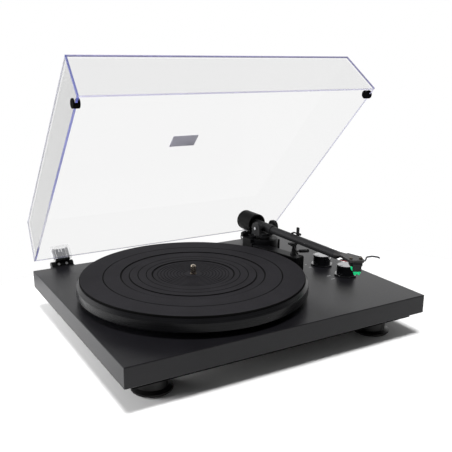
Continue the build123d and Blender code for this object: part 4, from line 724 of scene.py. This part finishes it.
def arm_spot(x, y, z):
    """A point of the parked arm's own frame, in millimetres, in the row frame."""
    x, y = turned(x, y, ARM_YAW)
    return deck(ARM_PIVOT[0] + x, ARM_PIVOT[1] + y, ARM_PIVOT[2] + z)


def cart_spot(x, y, z):
    """A point of the cartridge's frame, in millimetres, in the row frame."""
    x, y = turned(x, y, -CART_OFFSET)
    return arm_spot(CART_AT[0] + x, CART_AT[1] + y, CART_AT[2] + z)


for number, ((x, z), colour) in enumerate(zip(LEAD_PINS, LEAD_COLOURS)):
    pin = cart_spot(x, LEAD_BACK, z)
    sleeve = cart_spot(x, LEAD_BACK + LEAD_CLIP_L, z)
    bend = cart_spot(x * LEAD_BEND[0], LEAD_BACK + LEAD_BEND[1], z - LEAD_BEND[2])
    mouth = arm_spot(x * LEAD_MOUTH[0], LEAD_MOUTH[1], MOUTH_Z + z * LEAD_MOUTH[2])
    for name, points, radius, mat in (("lead_clip_%d", (pin, (pin + sleeve) / 2, sleeve), LEAD_CLIP_R, PLASTIC),
                                      ("lead_%d", (sleeve, bend, mouth), LEAD_R, colour)):
        add_piece(name % number, wire_mesh(name % number, points, radius), mat, "arm")

# Knobs: the spun metal cap in each top
KNOBS = (("speed_cap", 172.0, -5.0, "speed_dial"), ("power_cap", 172.0, -59.0, "power_dial"))
KNOB_TOP = 15.5
CAP_R = 11.5
CAP_T = 0.3
CAP_LIFT = 0.06
CAP_ROUNDING = 0.08
CAP_STEPS = 96
CAP_SLOT = (5.6, 11.2, 0.55)
CAP_RGB = (0.46, 0.46, 0.47)
CAP_AXIS = ((0.0, 0.0, 0.0), "Z")


def cap_mesh(name):
    """A thin disc with a slot for the knob's pointer."""
    work = bmesh.new()
    angles = [2 * math.pi * i / CAP_STEPS for i in range(CAP_STEPS)]
    near, far, half = CAP_SLOT
    rim = [(CAP_R * math.cos(a), CAP_R * math.sin(a), 0) for a in angles]
    slot = [(-far, -half, 0), (-near, -half, 0), (-near, half, 0), (-far, half, 0)]
    edges = []
    for loop in (rim, slot):
        verts = [work.verts.new(p) for p in loop]
        edges += [work.edges.new((a, b)) for a, b in zip(verts, verts[1:] + verts[:1])]
    bmesh.ops.triangle_fill(work, use_beauty=True, edges=edges)
    bmesh.ops.recalc_face_normals(work, faces=work.faces)
    made = bmesh.ops.extrude_face_region(work, geom=work.faces[:])
    moved = [v for v in made["geom"] if isinstance(v, bmesh.types.BMVert)]
    bmesh.ops.translate(work, verts=moved, vec=(0, 0, CAP_T))
    bmesh.ops.recalc_face_normals(work, faces=work.faces)
    bmesh.ops.scale(work, vec=(MM, MM, MM), verts=work.verts)
    mesh = bpy.data.meshes.new(name)
    work.to_mesh(mesh)
    work.free()
    return mesh


for name, x, y, body in KNOBS:
    mat = finish(name + "_spun", CAP_RGB, 0.3, 0.05, metal=1.0, grain=3500, bump=0.35, depth=0.00003,
                 spun=CAP_AXIS)
    cap = add_piece(name, cap_mesh(name), mat, body, at=deck(x, y, KNOB_TOP - CAP_T + CAP_LIFT))
    soften(cap, CAP_ROUNDING)

# Printed marks beside the knobs
MARKS = (
    ("mark_45", "45", 151.0, 6.0),
    ("mark_33", "33", 149.0, -7.0),
    ("mark_on", "ON", 148.0, -51.0),
    ("mark_off", "OFF", 146.0, -64.0),
)
MARK_H = 2.6
MARK_T = 0.06
for name, text, x, y in MARKS:
    mesh = words_mesh(name, text, MARK_H, MARK_T)
    mesh.transform(Matrix.Translation(deck(x, y, MARK_T / 2)))
    add_piece(name, mesh, MARK, "base_unit")

# Lights and floor: a wide light overhead and two soft boxes, with places in deck millimetres
SUN_AT = (-100, -200, 1000)
SUN_ANGLE = 16.0
SUN_POWER = 4.0
LEFT_BOX = {"power": 2, "at": (-900, 620, 420), "look_at": (-260, 60, -40), "size": (0.7, 0.5)}
FLOOR_LEFT = {"power": 6.5, "at": (-700, 190, 110), "look_at": (-205, 20, -56), "size": (0.45, 0.25)}
FLOOR_MIDDLE = (0.0, -220.0)
FLOOR_R = 560.0
FLOOR_STEPS = 96


def add_light(name, kind, power, at, look_at, size=None, glossy=True):
    """A studio light: a soft box of a size in metres, or the wide overhead light."""
    data = bpy.data.lights.new(name, kind)
    data.energy = power
    if kind == "AREA":
        data.shape = "RECTANGLE"
        data.size, data.size_y = size
    else:
        data.angle = math.radians(SUN_ANGLE)
    obj = new_object(name, data)
    obj.visible_glossy = glossy
    aim = deck(*look_at) - deck(*at)
    obj.matrix_world = Matrix.Translation(deck(*at)) @ aim.to_track_quat("-Z", "Y").to_matrix().to_4x4()


add_light("overhead", "SUN", SUN_POWER, SUN_AT, (0, 0, 0), glossy=False)
add_light("left_box", "AREA", **LEFT_BOX)
add_light("floor_left", "AREA", **FLOOR_LEFT, glossy=False)

floor_points = []
for i in range(FLOOR_STEPS):
    a = 2 * math.pi * i / FLOOR_STEPS
    spot = deck(FLOOR_MIDDLE[0] + FLOOR_R * math.cos(a), FLOOR_MIDDLE[1] + FLOOR_R * math.sin(a), 0)
    floor_points.append((spot.x, spot.y, 0.0))
floor = new_object("floor", mesh_from("floor", floor_points, [tuple(range(FLOOR_STEPS))]))
floor.data.materials.append(finish("floor_white", (0.80, 0.80, 0.80), 0.9, 0.0, spec=0.1, grain=3, bump=0.0))

# The studio: white behind the object and beyond the floor, dimmer overhead and on the camera's side
BACK = (0.25, 0.97, 0.0)
BACK_SPAN = (-0.2, 0.75)
BACK_GLOW = 1.34
FRONT_GLOW = 0.10
ZENITH_SPAN = (0.16, 0.72)
ZENITH_GLOW = 0.20
FLOOR_SPAN = (-0.03, 0.0)
BEYOND_FLOOR = 1.0
BACKDROP = 1.0

world = bpy.data.worlds.new("studio")
bpy.context.scene.world = world
world.use_nodes = True
tree = world.node_tree


def world_node(kind, values=(), links=()):
    """A node of the world's tree with some inputs set and some linked."""
    node = tree.nodes.new(kind)
    for index, value in values:
        node.inputs[index].default_value = value
    for index, socket in links:
        tree.links.new(socket, node.inputs[index])
    return node


def ramp(socket, span, at_low, at_high):
    """A smooth step of a value between two limits."""
    limits = (("From Min", span[0]), ("From Max", span[1]), ("To Min", at_low), ("To Max", at_high))
    node = world_node("ShaderNodeMapRange", limits, [("Value", socket)])
    node.interpolation_type = "SMOOTHSTEP"
    return node.outputs["Result"]


def blend(share, plain, other):
    """A value mixed with a number by a share."""
    return world_node("ShaderNodeMix", [("B", other)], [("Factor", share), ("A", plain)]).outputs["Result"]


direction = world_node("ShaderNodeTexCoord").outputs["Generated"]
height = world_node("ShaderNodeSeparateXYZ", links=[(0, direction)]).outputs["Z"]
backness = world_node("ShaderNodeVectorMath", [(1, BACK)], [(0, direction)])
backness.operation = "DOT_PRODUCT"
glow = ramp(backness.outputs["Value"], BACK_SPAN, FRONT_GLOW, BACK_GLOW)
glow = blend(ramp(height, ZENITH_SPAN, 0.0, 1.0), glow, ZENITH_GLOW)
glow = blend(ramp(height, FLOOR_SPAN, 1.0, 0.0), glow, BEYOND_FLOOR)
glow = blend(world_node("ShaderNodeLightPath").outputs["Is Camera Ray"], glow, BACKDROP)
background = next(n for n in tree.nodes if n.type == "BACKGROUND")
background.inputs["Color"].default_value = (1.0, 1.0, 1.0, 1.0)
tree.links.new(glow, background.inputs["Strength"])
bpy.context.scene.view_settings.view_transform = "Standard"
